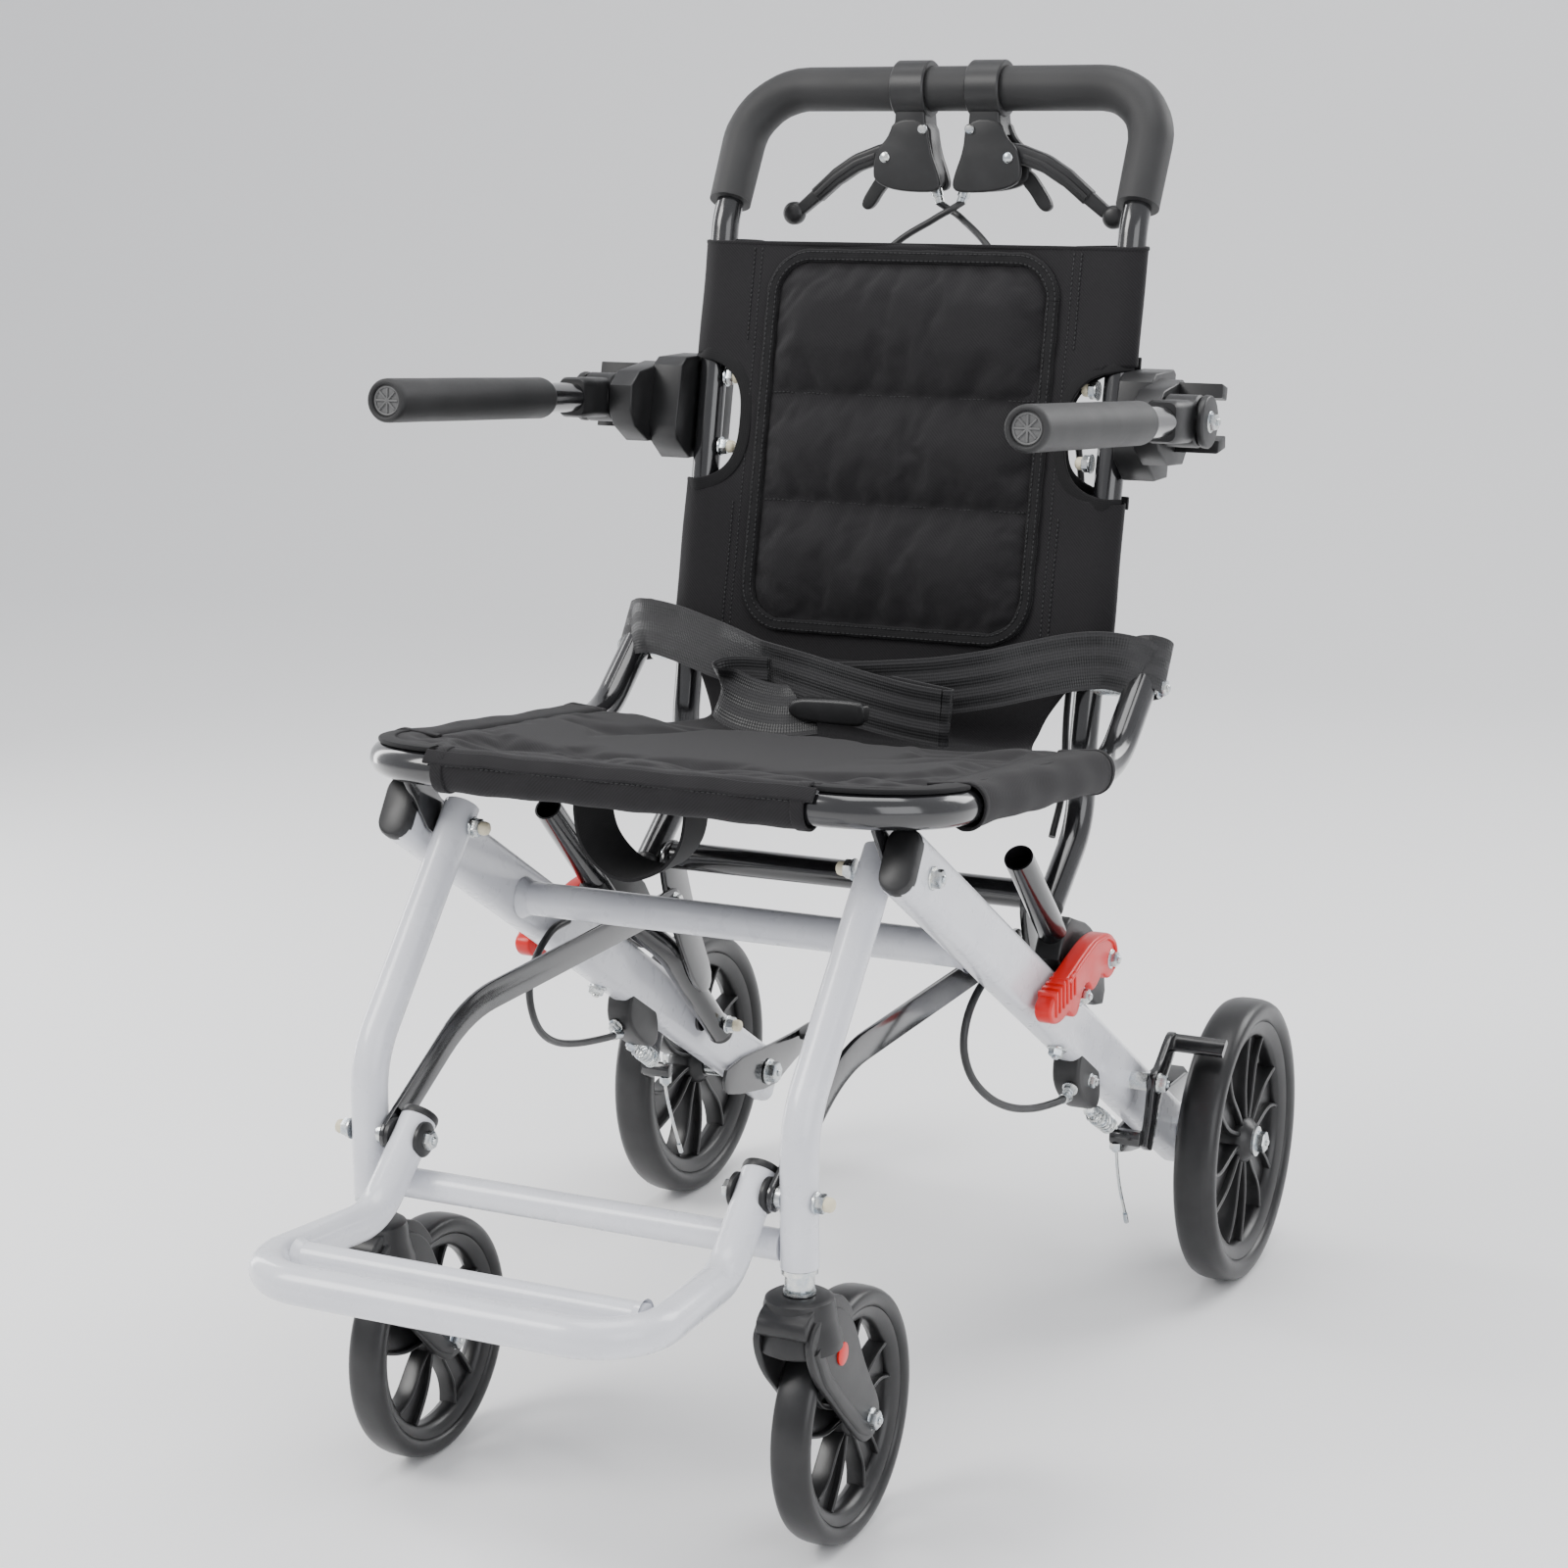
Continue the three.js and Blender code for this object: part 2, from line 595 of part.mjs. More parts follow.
// ---------------------------------------------------------------- backrest and handle
const LEAN = 0.212;
const backY = (z) => -69 + (z - 725) * LEAN;

function backrestFrame() {
  const side = (sign) => [
    [sign * BACK.x, KNEE.y - 6, KNEE.z - 5],
    [sign * BACK.x, -141, 350],
    [sign * BACK.x, backY(405), 405],
    [sign * HANDLE.x, HANDLE.bendY, HANDLE.bendZ],
    [sign * HANDLE.x, HANDLE.y, HANDLE.z],
  ];
  const tube = bentTube([...side(-1), ...side(1).reverse()], BACK.radius, HANDLE.corner);
  const fittings = [1, -1].map((sign) => {
    const across = (x0, x1, make) => {
      const piece = make(x0, x1);
      return sign > 0 ? piece : mirrored(piece);
    };
    return [
      across(129.8, BACK.x, (a, b) => pin(a, b, KNEE, PIN_RADIUS)),
      across(BACK.x, 200, (a, b) => pin(a, b, BACK_PIVOT, PIN_RADIUS)),
      across(BACK.x, 174.6, (a, b) => pin(a, b, BACK_PIVOT, 8)),
      across(196.6, 201, (a, b) => hexHead(a, b, BACK_PIVOT, 6.5)),
    ];
  });
  return join(tube, ...fittings.flat());
}

function handleGrip() {
  const ring = circle(GRIP_RADIUS, 14);
  ring.holes.push(circle(BACK.radius + GAP + 0.2, SIDES));
  // The grip starts above the tube's bend.
  const start = (sign) => [
    sign * HANDLE.x,
    HANDLE.bendY + 0.15 * (HANDLE.y - HANDLE.bendY),
    HANDLE.bendZ + 0.15 * (HANDLE.z - HANDLE.bendZ),
  ];
  const top = (sign) => [sign * HANDLE.x, HANDLE.y, HANDLE.z];
  const path = new BentPath([start(-1), top(-1), top(1), start(1)], 50);
  return alongPath(ring, path);
}

addPiece('backrest_frame', backrestFrame(), 'black');

/** Panel of cloth between the backrest tubes, leaning with them. */
function backrestSling() {
  const low = 394;
  const high = 722;
  const outline = [
    [backY(low) - 9, low],
    [backY(low) + 3, low],
    [backY(high) + 3, high],
    [backY(high) - 9, high],
  ];
  return plate(outline, -BACK.x + BACK.radius + 0.7, BACK.x - BACK.radius - 0.7);
}

addPiece('backrest_sling', backrestSling(), 'fabric');
addPiece('handle_grip', handleGrip(), 'foam');

// ---------------------------------------------------------------- armrests
function armrestBracket() {
  const low = 575;
  const high = 642;
  const clamp = plate(
    [[backY(low) - 22, low + 14], [backY(low) - 8, low], [backY(low) + 12, low], [backY(high) + 12, high],
      [backY(high) - 16, high]],
    159,
    182,
  );
  const lugOutline = [
    [-152, 610], [-128, 588], [-98, 586], [-84, 600],
    [-84, 632], [-100, 640], [-140, 636],
  ];
  const lug = plate(lugOutline, 180, 198);
  const hubPin = pin(190, 227, ARM_PIVOT, 5);
  const cheek = pin(222.5, 227, ARM_PIVOT, 15, 20);
  return join(clamp, lug, hubPin, cheek, hexHead(226, 231, ARM_PIVOT, 6.5));
}

const armAlong = new THREE.Vector2(ARM.tipY - ARM_PIVOT.y, ARM.tipZ - ARM_PIVOT.z);
const armLength = armAlong.length();
armAlong.normalize();
const armPoint = (reach) => [
  ARM.x,
  ARM_PIVOT.y + reach * armAlong.x,
  ARM_PIVOT.z + reach * armAlong.y,
];

function armrestTube() {
  const tube = bentTube([armPoint(8), armPoint(armLength - 8)], ARM.radius, 1);
  const hub = pin(198.5, 222, ARM_PIVOT, 17, 22);
  return cut(join(tube, hub), pin(195, 229, ARM_PIVOT, 5 + BORE_CLEARANCE));
}

function armrestFoam() {
  const sleeve = bentTube([armPoint(88), armPoint(armLength)], ARM.foamRadius, 1, 18);
  return cut(sleeve, bentTube([armPoint(70), armPoint(armLength - 7)], ARM.radius + GAP, 1));
}

addPair('armrest_bracket', armrestBracket(), 'plastic');
addPair('armrest_tube', armrestTube(), 'black');
addPair('armrest_foam', armrestFoam(), 'foam');

// ---------------------------------------------------------------- brake levers on the handle
/** A flat plate facing Y, from an outline of [x, z] points. */
function frontPlate(outline, y0, y1) {
  const shape = new THREE.Shape(outline.map(([x, z]) => new THREE.Vector2(x, z)));
  const geometry = new THREE.ExtrudeGeometry(shape, { depth: y1 - y0, bevelEnabled: false });
  const toWorld = new THREE.Matrix4().makeBasis(
    new THREE.Vector3(1, 0, 0),
    new THREE.Vector3(0, 0, 1),
    new THREE.Vector3(0, -1, 0),
  );
  geometry.applyMatrix4(toWorld);
  geometry.translate(0, y1, 0);
  return geometry;
}

function yPin(x, z, y0, y1, radius, sides = SIDES) {
  const geometry = new THREE.CylinderGeometry(radius, radius, y1 - y0, sides);
  geometry.translate(x, (y0 + y1) / 2, z);
  return geometry;
}

function brakeLeverHousing() {
  const bar = { y: HANDLE.y, z: HANDLE.z };
  const band = pin(15, 40, bar, GRIP_RADIUS + 4, 20);
  const neck = box(17, 38, HANDLE.y - 10, HANDLE.y + 10, 796, 815);
  const outline = [
    [16, 806], [39, 806], [44, 792], [52, 786], [55, 772], [53, 762],
    [38, 757], [9, 756], [4, 760], [6, 768], [13, 786],
  ];
  const body = frontPlate(outline, HANDLE.y - 12, HANDLE.y + 11);
  const catchOutline = [[48, 772], [58, 768], [68, 750], [64, 746], [58, 749], [49, 762]];
  const parkingCatch = frontPlate(catchOutline, HANDLE.y + 5, HANDLE.y + 11);
  const slot = box(33, 60, HANDLE.y - 8, HANDLE.y + 4, 750, 812);
  const room = pin(0, 60, bar, GRIP_RADIUS + GAP, 20);
  const pivot = yPin(LEVER_PIVOT.x, LEVER_PIVOT.z, HANDLE.y - 14, HANDLE.y + 12, 3);
  return join(cut(join(band, neck, body, parkingCatch), room, slot), pivot);
}

function brakeLeverBlade() {
  const outline = [
    [37, 778], [38, 787], [46, 791], [66, 784], [84, 773], [106, 753],
    [115, 751], [124, 747], [128, 740], [124, 733], [117, 731], [110, 735],
    [104, 745], [87, 759], [68, 771], [48, 774],
  ];
  const blade = frontPlate(outline.reverse(), HANDLE.y - 7.4, HANDLE.y + 3.4);
  return cut(blade, yPin(LEVER_PIVOT.x, LEVER_PIVOT.z, HANDLE.y - 20, HANDLE.y + 20, 3 + BORE_CLEARANCE));
}

addPair('brake_lever_housing', brakeLeverHousing(), 'plastic');
addPair('brake_lever_blade', brakeLeverBlade(), 'plastic');

// ---------------------------------------------------------------- wheel brakes and their cables
const BRAKE_BAR = { y: -71, z: 187 };
const BRAKE_LUG = { y: -126, z: 134 };

function brakeArm() {
  const bar = plate(
    barOutline([[BRAKE_BAR.y - 2, BRAKE_BAR.z], [LINK_PIVOT.y, LINK_PIVOT.z], [-118, 130]], 12),
    188,
    193.5,
  );
  const pad = pin(189, 229, { y: BRAKE_BAR.y, z: BRAKE_BAR.z }, 4, 10);
  const lug = box(168, 189, BRAKE_LUG.y - 5, BRAKE_LUG.y + 3, BRAKE_LUG.z - 4, BRAKE_LUG.z + 4);
  return cut(join(bar, pad, lug), pin(180, 200, LINK_PIVOT, PIN_RADIUS + BORE_CLEARANCE));
}

/** A coil between two points, as a wire swept on a helix. */
class Coil extends THREE.Curve {
  constructor(from, to, radius, turns) {
    super();
    this.from = new THREE.Vector3(...from);
    this.along = new THREE.Vector3(...to).sub(this.from);
    this.side = new THREE.Vector3(1, 0, 0).multiplyScalar(radius);
    this.lift = this.along.clone().normalize().cross(this.side);
    this.turns = turns;
  }

  getPoint(t) {
    const angle = 2 * Math.PI * this.turns * t;
    return this.from
      .clone()
      .addScaledVector(this.along, t)
      .addScaledVector(this.side, Math.cos(angle))
      .addScaledVector(this.lift, Math.sin(angle));
  }
}

/** Return spring between the clip and the brake arm's lug, with the cable's bare wire through it. */
function brakeSpring() {
  const coil = new Coil([171, -168, 161], [173, -144, 146.5], 5.5, 5);
  const alongCoil = { steps: 36, extrudePath: coil, bevelEnabled: false };
  const spring = new THREE.ExtrudeGeometry(circle(1, 4), alongCoil);
  const endLoop = bentTube([[171, -168, 161], [176.5, -168, 161]], 1, 1, 6);
  const wire = bentTube([[170.8, -172, 163.5], [171, -168, 161], [173, -143.5, 146.2]], 0.9, 1, 6);
  return join(spring, endLoop, wire);
}

function cable(points, steps) {
  const curve = new THREE.CatmullRomCurve3(points.map((point) => new THREE.Vector3(...point)));
  return new THREE.ExtrudeGeometry(circle(2.5, 6), { steps, extrudePath: curve, bevelEnabled: false });
}

/** From a lever housing, across behind the cloth, and down beside the other backrest tube. */
function upperCable(sign, crossingY) {
  const points = [
    [11, HANDLE.y - 3, 752], [4, crossingY, 748], [-8, crossingY - 3, 742], [-38, -38, 718],
    [-76, -54, 672], [-108, -68, 620], [-124, -86, 560], [-128, -104, 480],
    [-128, -118, 420], [-130, -128, 372], [-131, -150, 342],
  ];
  return cable(points.map(([x, y, z]) => [sign * x, y, z]), 30);
}

/** From behind the stay, round a loose loop below it, and up into the clip. */
function lowerCable() {
  const points = [
    [151.5, -300, 289], [151.5, -322, 287], [151.5, -343, 274],
    [152, -351, 256], [154, -344, 236], [158, -326, 218],
    [162, -300, 204], [165, -268, 194], [166, -232, 187], [166, -207.5, 185],
  ];
  return cable(points, 28);
}

addPair('brake_arm', brakeArm(), 'black');
addPair('brake_spring', brakeSpring(), 'steel');
addPiece('brake_cable_upper_right', upperCable(1, -26), 'rubber');
addPiece('brake_cable_upper_left', upperCable(-1, -16), 'rubber');
addPair('brake_cable_lower', lowerCable(), 'rubber');

// ---------------------------------------------------------------- lap belt
const BELT = {
  halfSpan: 172, endY: -147, middleY: -233, height: 40, thickness: 3, middleZ: 421, endZ: 447,
};

function lapBelt() {
  const steps = 16;
  const front = [];
  const back = [];
  for (let i = 0; i <= steps; i += 1) {
    const x = BELT.halfSpan * ((2 * i) / steps - 1);
    const y = BELT.middleY + (BELT.endY - BELT.middleY) * (x / BELT.halfSpan) ** 2;
    front.push(new THREE.Vector2(x, y));
    back.unshift(new THREE.Vector2(x, y + BELT.thickness));
  }
  const shape = new THREE.Shape([...front, ...back]);
  const geometry = new THREE.ExtrudeGeometry(shape, { depth: BELT.height, bevelEnabled: false });
  const position = geometry.attributes.position;
  for (let i = 0; i < position.count; i += 1) {
    const rise = (BELT.endZ - BELT.middleZ) * (position.getX(i) / BELT.halfSpan) ** 2;
    position.setZ(i, position.getZ(i) + BELT.middleZ + rise);
  }
  return geometry;
}

function beltBuckle() {
  const front = BELT.middleY - 14;
  const outline = [
    [-32, 424], [34, 424], [38, 430], [38, 452], [34, 458], [-32, 458], [-36, 452], [-36, 430],
  ];
  return frontPlate(outline, front, BELT.middleY - 1);
}

addPiece('lap_belt', lapBelt(), 'fabric');
addPiece('belt_buckle', beltBuckle(), 'plastic');

export default root;
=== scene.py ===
import json
import math
import random

import bmesh
import bpy
import numpy as np
from mathutils import Matrix, Vector


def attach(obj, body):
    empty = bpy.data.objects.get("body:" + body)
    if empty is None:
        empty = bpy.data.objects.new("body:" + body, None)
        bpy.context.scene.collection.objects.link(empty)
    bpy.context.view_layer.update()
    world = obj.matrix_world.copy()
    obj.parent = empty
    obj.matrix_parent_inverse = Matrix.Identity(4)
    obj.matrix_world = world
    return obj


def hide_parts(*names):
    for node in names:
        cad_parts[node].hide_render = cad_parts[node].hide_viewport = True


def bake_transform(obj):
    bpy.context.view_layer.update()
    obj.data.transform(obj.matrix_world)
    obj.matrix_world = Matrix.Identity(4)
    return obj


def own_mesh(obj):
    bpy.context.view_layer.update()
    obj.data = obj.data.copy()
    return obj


random.seed(7)
np.random.seed(7)

# ---------------------------------------------------------------- camera first
scene = bpy.context.scene
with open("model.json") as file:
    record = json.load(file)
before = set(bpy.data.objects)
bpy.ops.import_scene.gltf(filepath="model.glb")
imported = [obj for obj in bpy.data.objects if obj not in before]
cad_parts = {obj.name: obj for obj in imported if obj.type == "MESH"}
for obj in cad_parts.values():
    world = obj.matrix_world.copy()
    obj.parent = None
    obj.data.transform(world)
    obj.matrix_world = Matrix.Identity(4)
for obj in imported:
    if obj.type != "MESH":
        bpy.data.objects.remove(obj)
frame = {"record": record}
MM = 0.001


def write_size():
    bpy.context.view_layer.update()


write_size()

RECORD = frame["record"]
JOINT_AT = {j["name"]: Vector(j["pos_m"]) for j in RECORD["behaviour"]["joints"] if "pos_m" in j}
AXLE = JOINT_AT["rear_spin_right"]
SIDES = (("right", 1), ("left", -1))


def at(x, y, z):
    """A point from millimetres: x from the middle, y from the rear axle, z from the floor."""
    return Vector((x * MM, AXLE.y + y * MM, z * MM))


def mm(v):
    """The same the other way: a joint's or a box's point in those millimetres."""
    return Vector((v.x / MM, (v.y - AXLE.y) / MM, v.z / MM))


camera_data = bpy.data.cameras.new("camera")
camera = bpy.data.objects.new("camera", camera_data)
scene.collection.objects.link(camera)
scene.camera = camera
camera_data.lens = 71.34
camera_data.sensor_width = 36.0
camera_data.clip_start = 0.05
camera_data.clip_end = 60.0
AZIMUTH = math.radians(25.70)
ELEVATION = math.radians(12.15)
ROLL = math.radians(-0.12)
forward = Vector(
    (
        -math.sin(AZIMUTH) * math.cos(ELEVATION),
        math.cos(AZIMUTH) * math.cos(ELEVATION),
        -math.sin(ELEVATION),
    )
)
camera.location = at(838.6, -2028.2, 808.6)
camera.rotation_mode = "QUATERNION"
camera.rotation_quaternion = forward.to_track_quat("-Z", "Y") @ Matrix.Rotation(ROLL, 4,
    "Z").to_quaternion()


# ---------------------------------------------------------------- materials
def shader(name, color, roughness, metallic=0.0, coat=0.0):
    """A material with its main shader, and its node tree for more detail."""
    material = bpy.data.materials.new(name)
    material.use_nodes = True
    tree = material.node_tree
    main = tree.nodes["Principled BSDF"]
    main.inputs["Base Color"].default_value = (*color, 1)
    main.inputs["Roughness"].default_value = roughness
    main.inputs["Metallic"].default_value = metallic
    main.inputs["Coat Weight"].default_value = coat
    main.inputs["Coat Roughness"].default_value = 0.12
    return material, tree, main


def add(tree, kind, **values):
    node = tree.nodes.new(kind)
    for key, value in values.items():
        if hasattr(node, key):
            setattr(node, key, value)
        else:
            node.inputs[key].default_value = value
    return node


def noise(tree, scale, detail=3.0, coords="Object"):
    where = add(tree, "ShaderNodeTexCoord")
    texture = add(tree, "ShaderNodeTexNoise", Scale=scale, Detail=detail)
    tree.links.new(where.outputs[coords], texture.inputs["Vector"])
    return texture.outputs["Fac"]


def remap(tree, value, low, high, at_low=0.0, at_high=1.0):
    node = add(tree, "ShaderNodeMapRange")
    node.inputs["From Min"].default_value = at_low
    node.inputs["From Max"].default_value = at_high
    node.inputs["To Min"].default_value = low
    node.inputs["To Max"].default_value = high
    tree.links.new(value, node.inputs["Value"])
    return node.outputs["Result"]


def math_node(tree, operation, a, b=None):
    node = add(tree, "ShaderNodeMath", operation=operation)
    for index, value in enumerate((a, b)):
        if value is None:
            continue
        if isinstance(value, (int, float)):
            node.inputs[index].default_value = value
        else:
            tree.links.new(value, node.inputs[index])
    return node.outputs["Value"]


def bump(tree, main, height, strength, distance=0.001):
    node = add(tree, "ShaderNodeBump")
    node.inputs["Strength"].default_value = strength
    node.inputs["Distance"].default_value = distance
    tree.links.new(height, node.inputs["Height"])
    tree.links.new(node.outputs["Normal"], main.inputs["Normal"])
    return node


def tint(tree, main, factor, low, high):
    mix = add(tree, "ShaderNodeMix", data_type="RGBA")
    mix.inputs["A"].default_value = (*low, 1)
    mix.inputs["B"].default_value = (*high, 1)
    tree.links.new(factor, mix.inputs["Factor"])
    tree.links.new(mix.outputs["Result"], main.inputs["Base Color"])


def painted(name, color, shade, roughness, coat, wave=0.012):
    """Gloss paint: faint mottling, uneven gloss and a slight orange peel."""
    material, tree, main = shader(name, color, roughness, 0.0, coat)
    tint(tree, main, remap(tree, noise(tree, 34), 0, 1, 0.35, 0.65), shade, color)
    tree.links.new(remap(tree, noise(tree, 90, 4), roughness * 0.85, roughness * 1.35),
        main.inputs["Roughness"])
    bump(tree, main, noise(tree, 420, 2), wave, 0.0006)
    return material


def moulded(name, color, roughness, grain=1500, depth=0.12, spread=1.5):
    """Moulded plastic or rubber: fine grain and rubbed patches."""
    material, tree, main = shader(name, color, roughness)
    light = tuple(min(1.0, c * spread + 0.002) for c in color)
    tint(tree, main, remap(tree, noise(tree, 60, 5), 0, 1, 0.4, 0.75), color, light)
    tree.links.new(remap(tree, noise(tree, 45, 4), roughness * 0.85, roughness * 1.2),
        main.inputs["Roughness"])
    bump(tree, main, noise(tree, grain, 2), depth, 0.0004)
    return material


def plated(name, color, roughness):
    """Zinc plate: bluish and yellowish haze over fine drawn marks."""
    material, tree, main = shader(name, color, roughness, 1.0)
    tint(tree, main, remap(tree, noise(tree, 160, 4), 0, 1, 0.3, 0.7), (0.42, 0.47, 0.52),
        (0.74, 0.74, 0.70))
    tree.links.new(remap(tree, noise(tree, 300, 3), roughness * 0.7, roughness * 1.5),
        main.inputs["Roughness"])
    bump(tree, main, noise(tree, 900, 3), 0.12, 0.0003)
    return material


def woven(name, dark, light, thread, coords="UV", twill=True, sheen=0.25):
    """Cloth from two sets of threads. thread is the pitch in metres of the cloth's own flat coordinates."""
    material, tree, main = shader(name, dark, 0.86)
    where = add(tree, "ShaderNodeTexCoord").outputs[coords]
    split = add(tree, "ShaderNodeSeparateXYZ")
    tree.links.new(where, split.inputs["Vector"])
    turn = 2 * math.pi / thread
    u = math_node(tree, "MULTIPLY", split.outputs["X"], turn)
    v = math_node(tree, "MULTIPLY", split.outputs["Y"], turn)
    warp = math_node(tree, "SINE", u)
    weft = math_node(tree, "SINE", v)
    if twill:
        lean = math_node(tree, "SINE", math_node(tree, "MULTIPLY", math_node(tree, "ADD", u, v), 0.5))
        threads = math_node(tree, "ADD", math_node(tree, "MULTIPLY", warp, weft),
            math_node(tree, "MULTIPLY", lean, 1.2))
    else:
        threads = math_node(tree, "ADD", math_node(tree, "MULTIPLY", warp, 0.4), weft)
    body = remap(tree, threads, 0, 1, -2.0, 2.0)
    fleck = noise(tree, 900, 3, "Object")
    cloud = noise(tree, 9, 5, "Object")
    shade = math_node(tree, "ADD", math_node(tree, "MULTIPLY", body, 0.45),
        math_node(tree, "MULTIPLY", fleck, 0.5))
    shade = math_node(tree, "ADD", shade, math_node(tree, "MULTIPLY", cloud, 0.25))
    tint(tree, main, remap(tree, shade, 0, 1, 0.25, 0.95), dark, light)
    tree.links.new(remap(tree, fleck, 0.78, 0.95), main.inputs["Roughness"])
    height = math_node(tree, "ADD", math_node(tree, "MULTIPLY", body, 0.6),
        math_node(tree, "MULTIPLY", fleck, 0.5))
    bump(tree, main, height, 0.35, 0.0005)
    main.inputs["Sheen Weight"].default_value = sheen
    main.inputs["Sheen Roughness"].default_value = 0.5
    main.inputs["Specular IOR Level"].default_value = 0.25
    return material, tree, main


def webbing_material():
    """Ribbed belt webbing: cross ribs, with two smoother stripes along it."""
    material, tree, main = shader("belt_webbing", (0.02, 0.02, 0.021), 0.5)
    where = add(tree, "ShaderNodeTexCoord").outputs["UV"]
    split = add(tree, "ShaderNodeSeparateXYZ")
    tree.links.new(where, split.inputs["Vector"])
    ribs = math_node(tree, "SINE", math_node(tree, "MULTIPLY", split.outputs["X"], 2 * math.pi / 0.0016))
    lines = math_node(tree, "SINE", math_node(tree, "MULTIPLY", split.outputs["Y"], 2 * math.pi / 0.0021))
    bands = math_node(tree, "COSINE", math_node(tree, "MULTIPLY", split.outputs["Y"], 2 * math.pi / 0.0127))
    stripe = remap(tree, bands, 0, 1, -0.25, 0.15)
    fleck = noise(tree, 700, 3)
    shade = math_node(tree, "ADD", math_node(tree, "MULTIPLY", stripe, 0.55),
        math_node(tree, "MULTIPLY", fleck, 0.45))
    tint(tree, main, remap(tree, shade, 0, 1, 0.1, 0.9), (0.004, 0.004, 0.0045), (0.024, 0.0235, 0.025))
    tree.links.new(remap(tree, stripe, 0.42, 0.7), main.inputs["Roughness"])
    height = math_node(tree, "ADD", math_node(tree, "MULTIPLY", ribs, 0.3),
        math_node(tree, "MULTIPLY", lines, 0.25))
    bump(tree, main, height, 0.4, 0.0005)
    main.inputs["Sheen Weight"].default_value = 0.04
    return material


def foam_material():
    """Closed-cell foam sleeve: matte, fine pores and faint pressed lines."""
    material, tree, main = shader("foam_sleeve", (0.011, 0.011, 0.0115), 0.58)
    tint(tree, main, remap(tree, noise(tree, 25, 4), 0, 1, 0.35, 0.7), (0.008, 0.008, 0.0085),
        (0.017, 0.0168, 0.0172))
    tree.links.new(remap(tree, noise(tree, 50, 4), 0.5, 0.68), main.inputs["Roughness"])
    pores = math_node(tree, "ADD", noise(tree, 1300, 2),
        math_node(tree, "MULTIPLY", noise(tree, 240, 3), 0.6))
    bump(tree, main, pores, 0.16, 0.0006)
    main.inputs["Sheen Weight"].default_value = 0.03
    return material


SILVER = painted("silver_gloss", (0.70, 0.71, 0.75), (0.66, 0.67, 0.715), 0.26, 0.6)
BLACK = painted("black_gloss", (0.010, 0.010, 0.011), (0.006, 0.006, 0.007), 0.17, 0.8, 0.02)
PLASTIC = moulded("black_moulding", (0.0085, 0.0085, 0.009), 0.40)
SATIN = moulded("wheel_plastic", (0.0075, 0.0075, 0.008), 0.33, 900, 0.08)
RED = moulded("red_moulding", (0.60, 0.004, 0.003), 0.30, 1200, 0.06, 1.15)
CREAM = moulded("nylon_insert", (0.66, 0.60, 0.44), 0.45, 900, 0.05, 1.1)
GREY = moulded("tube_plug", (0.085, 0.085, 0.085), 0.55, 700, 0.12)
TYRE = moulded("tyre_rubber", (0.0065, 0.0065, 0.007), 0.34, 700, 0.10, 1.7)
RUBBER = moulded("cable_sleeve", (0.014, 0.014, 0.015), 0.40, 800, 0.05)
ZINC = plated("zinc_plate", (0.62, 0.66, 0.70), 0.24)
BRASS = plated("bearing_rim", (0.5, 0.42, 0.3), 0.3)
FOAM = foam_material()
CLOTH, _, _ = woven("polyester_cloth", (0.0035, 0.0033, 0.0038), (0.020, 0.0187, 0.0205), 0.0011,
    sheen=0.06)
TAPE, _, _ = woven("binding_tape", (0.003, 0.003, 0.0033), (0.013, 0.0125, 0.0135), 0.0014, twill=False,
    sheen=0.06)
WEBBING = webbing_material()
THREAD = moulded("sewing_thread", (0.012, 0.012, 0.013), 0.7)


# ---------------------------------------------------------------- mesh helpers
def piece(name, verts, faces, body, material, smooth=True, uvs=None, angle=38):
    """A mesh object made of points and faces, riding on a CAD body."""
    mesh = bpy.data.meshes.new(name)
    mesh.from_pydata([tuple(v) for v in verts], [], [tuple(f) for f in faces])
    mesh.update()
    if uvs is not None:
        layer = mesh.uv_layers.new(name="flat")
        for loop in mesh.loops:
            layer.data[loop.index].uv = uvs[loop.vertex_index]
    obj = bpy.data.objects.new(name, mesh)
    scene.collection.objects.link(obj)
    mesh.materials.append(material)
    if smooth:
        shade_smooth(obj, angle)
    if body:
        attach(obj, body)
    return obj


def shade_smooth(obj, angle=38):
    """Smooth faces, with edges sharper than angle kept sharp."""
    mesh = obj.data
    for polygon in mesh.polygons:
        polygon.use_smooth = True
    if angle is None:
        return
    work = bmesh.new()
    work.from_mesh(mesh)
    limit = math.radians(angle)
    for edge in work.edges:
        if len(edge.link_faces) == 2 and edge.calc_face_angle(0) > limit:
            edge.smooth = False
    work.to_mesh(mesh)
    work.free()


def rounded_path(points, radius, step=6.0):
    """Points along a polyline with its corners rounded, in millimetres."""
    pts = [Vector(p) for p in points]
    out = [pts[0]]
    for before, corner, after in zip(pts, pts[1:], pts[2:]):
        a, b = (before - corner), (after - corner)
        la, lb = a.length, b.length
        a.normalize()
        b.normalize()
        turn = math.pi - a.angle(b)
        if turn < 1e-3:
            out.append(corner)
            continue
        reach = min(radius * math.tan(turn / 2), la * 0.49, lb * 0.49)
        r = reach / math.tan(turn / 2)
        middle = (a + b).normalized()
        centre = corner + middle * (r / math.cos(turn / 2))
        start = corner + a * reach - centre
        end = corner + b * reach - centre
        count = max(3, int(r * turn / step) + 1)
        axis = start.cross(end).normalized()
        for i in range(count + 1):
            out.append(centre + Matrix.Rotation(turn * i / count, 3, axis) @ start)
    out.append(pts[-1])
    return out


def circle_section(radius, sides=28):
    return [(radius * math.cos(2 * math.pi * i / sides),
        radius * math.sin(2 * math.pi * i / sides)) for i in range(sides)]


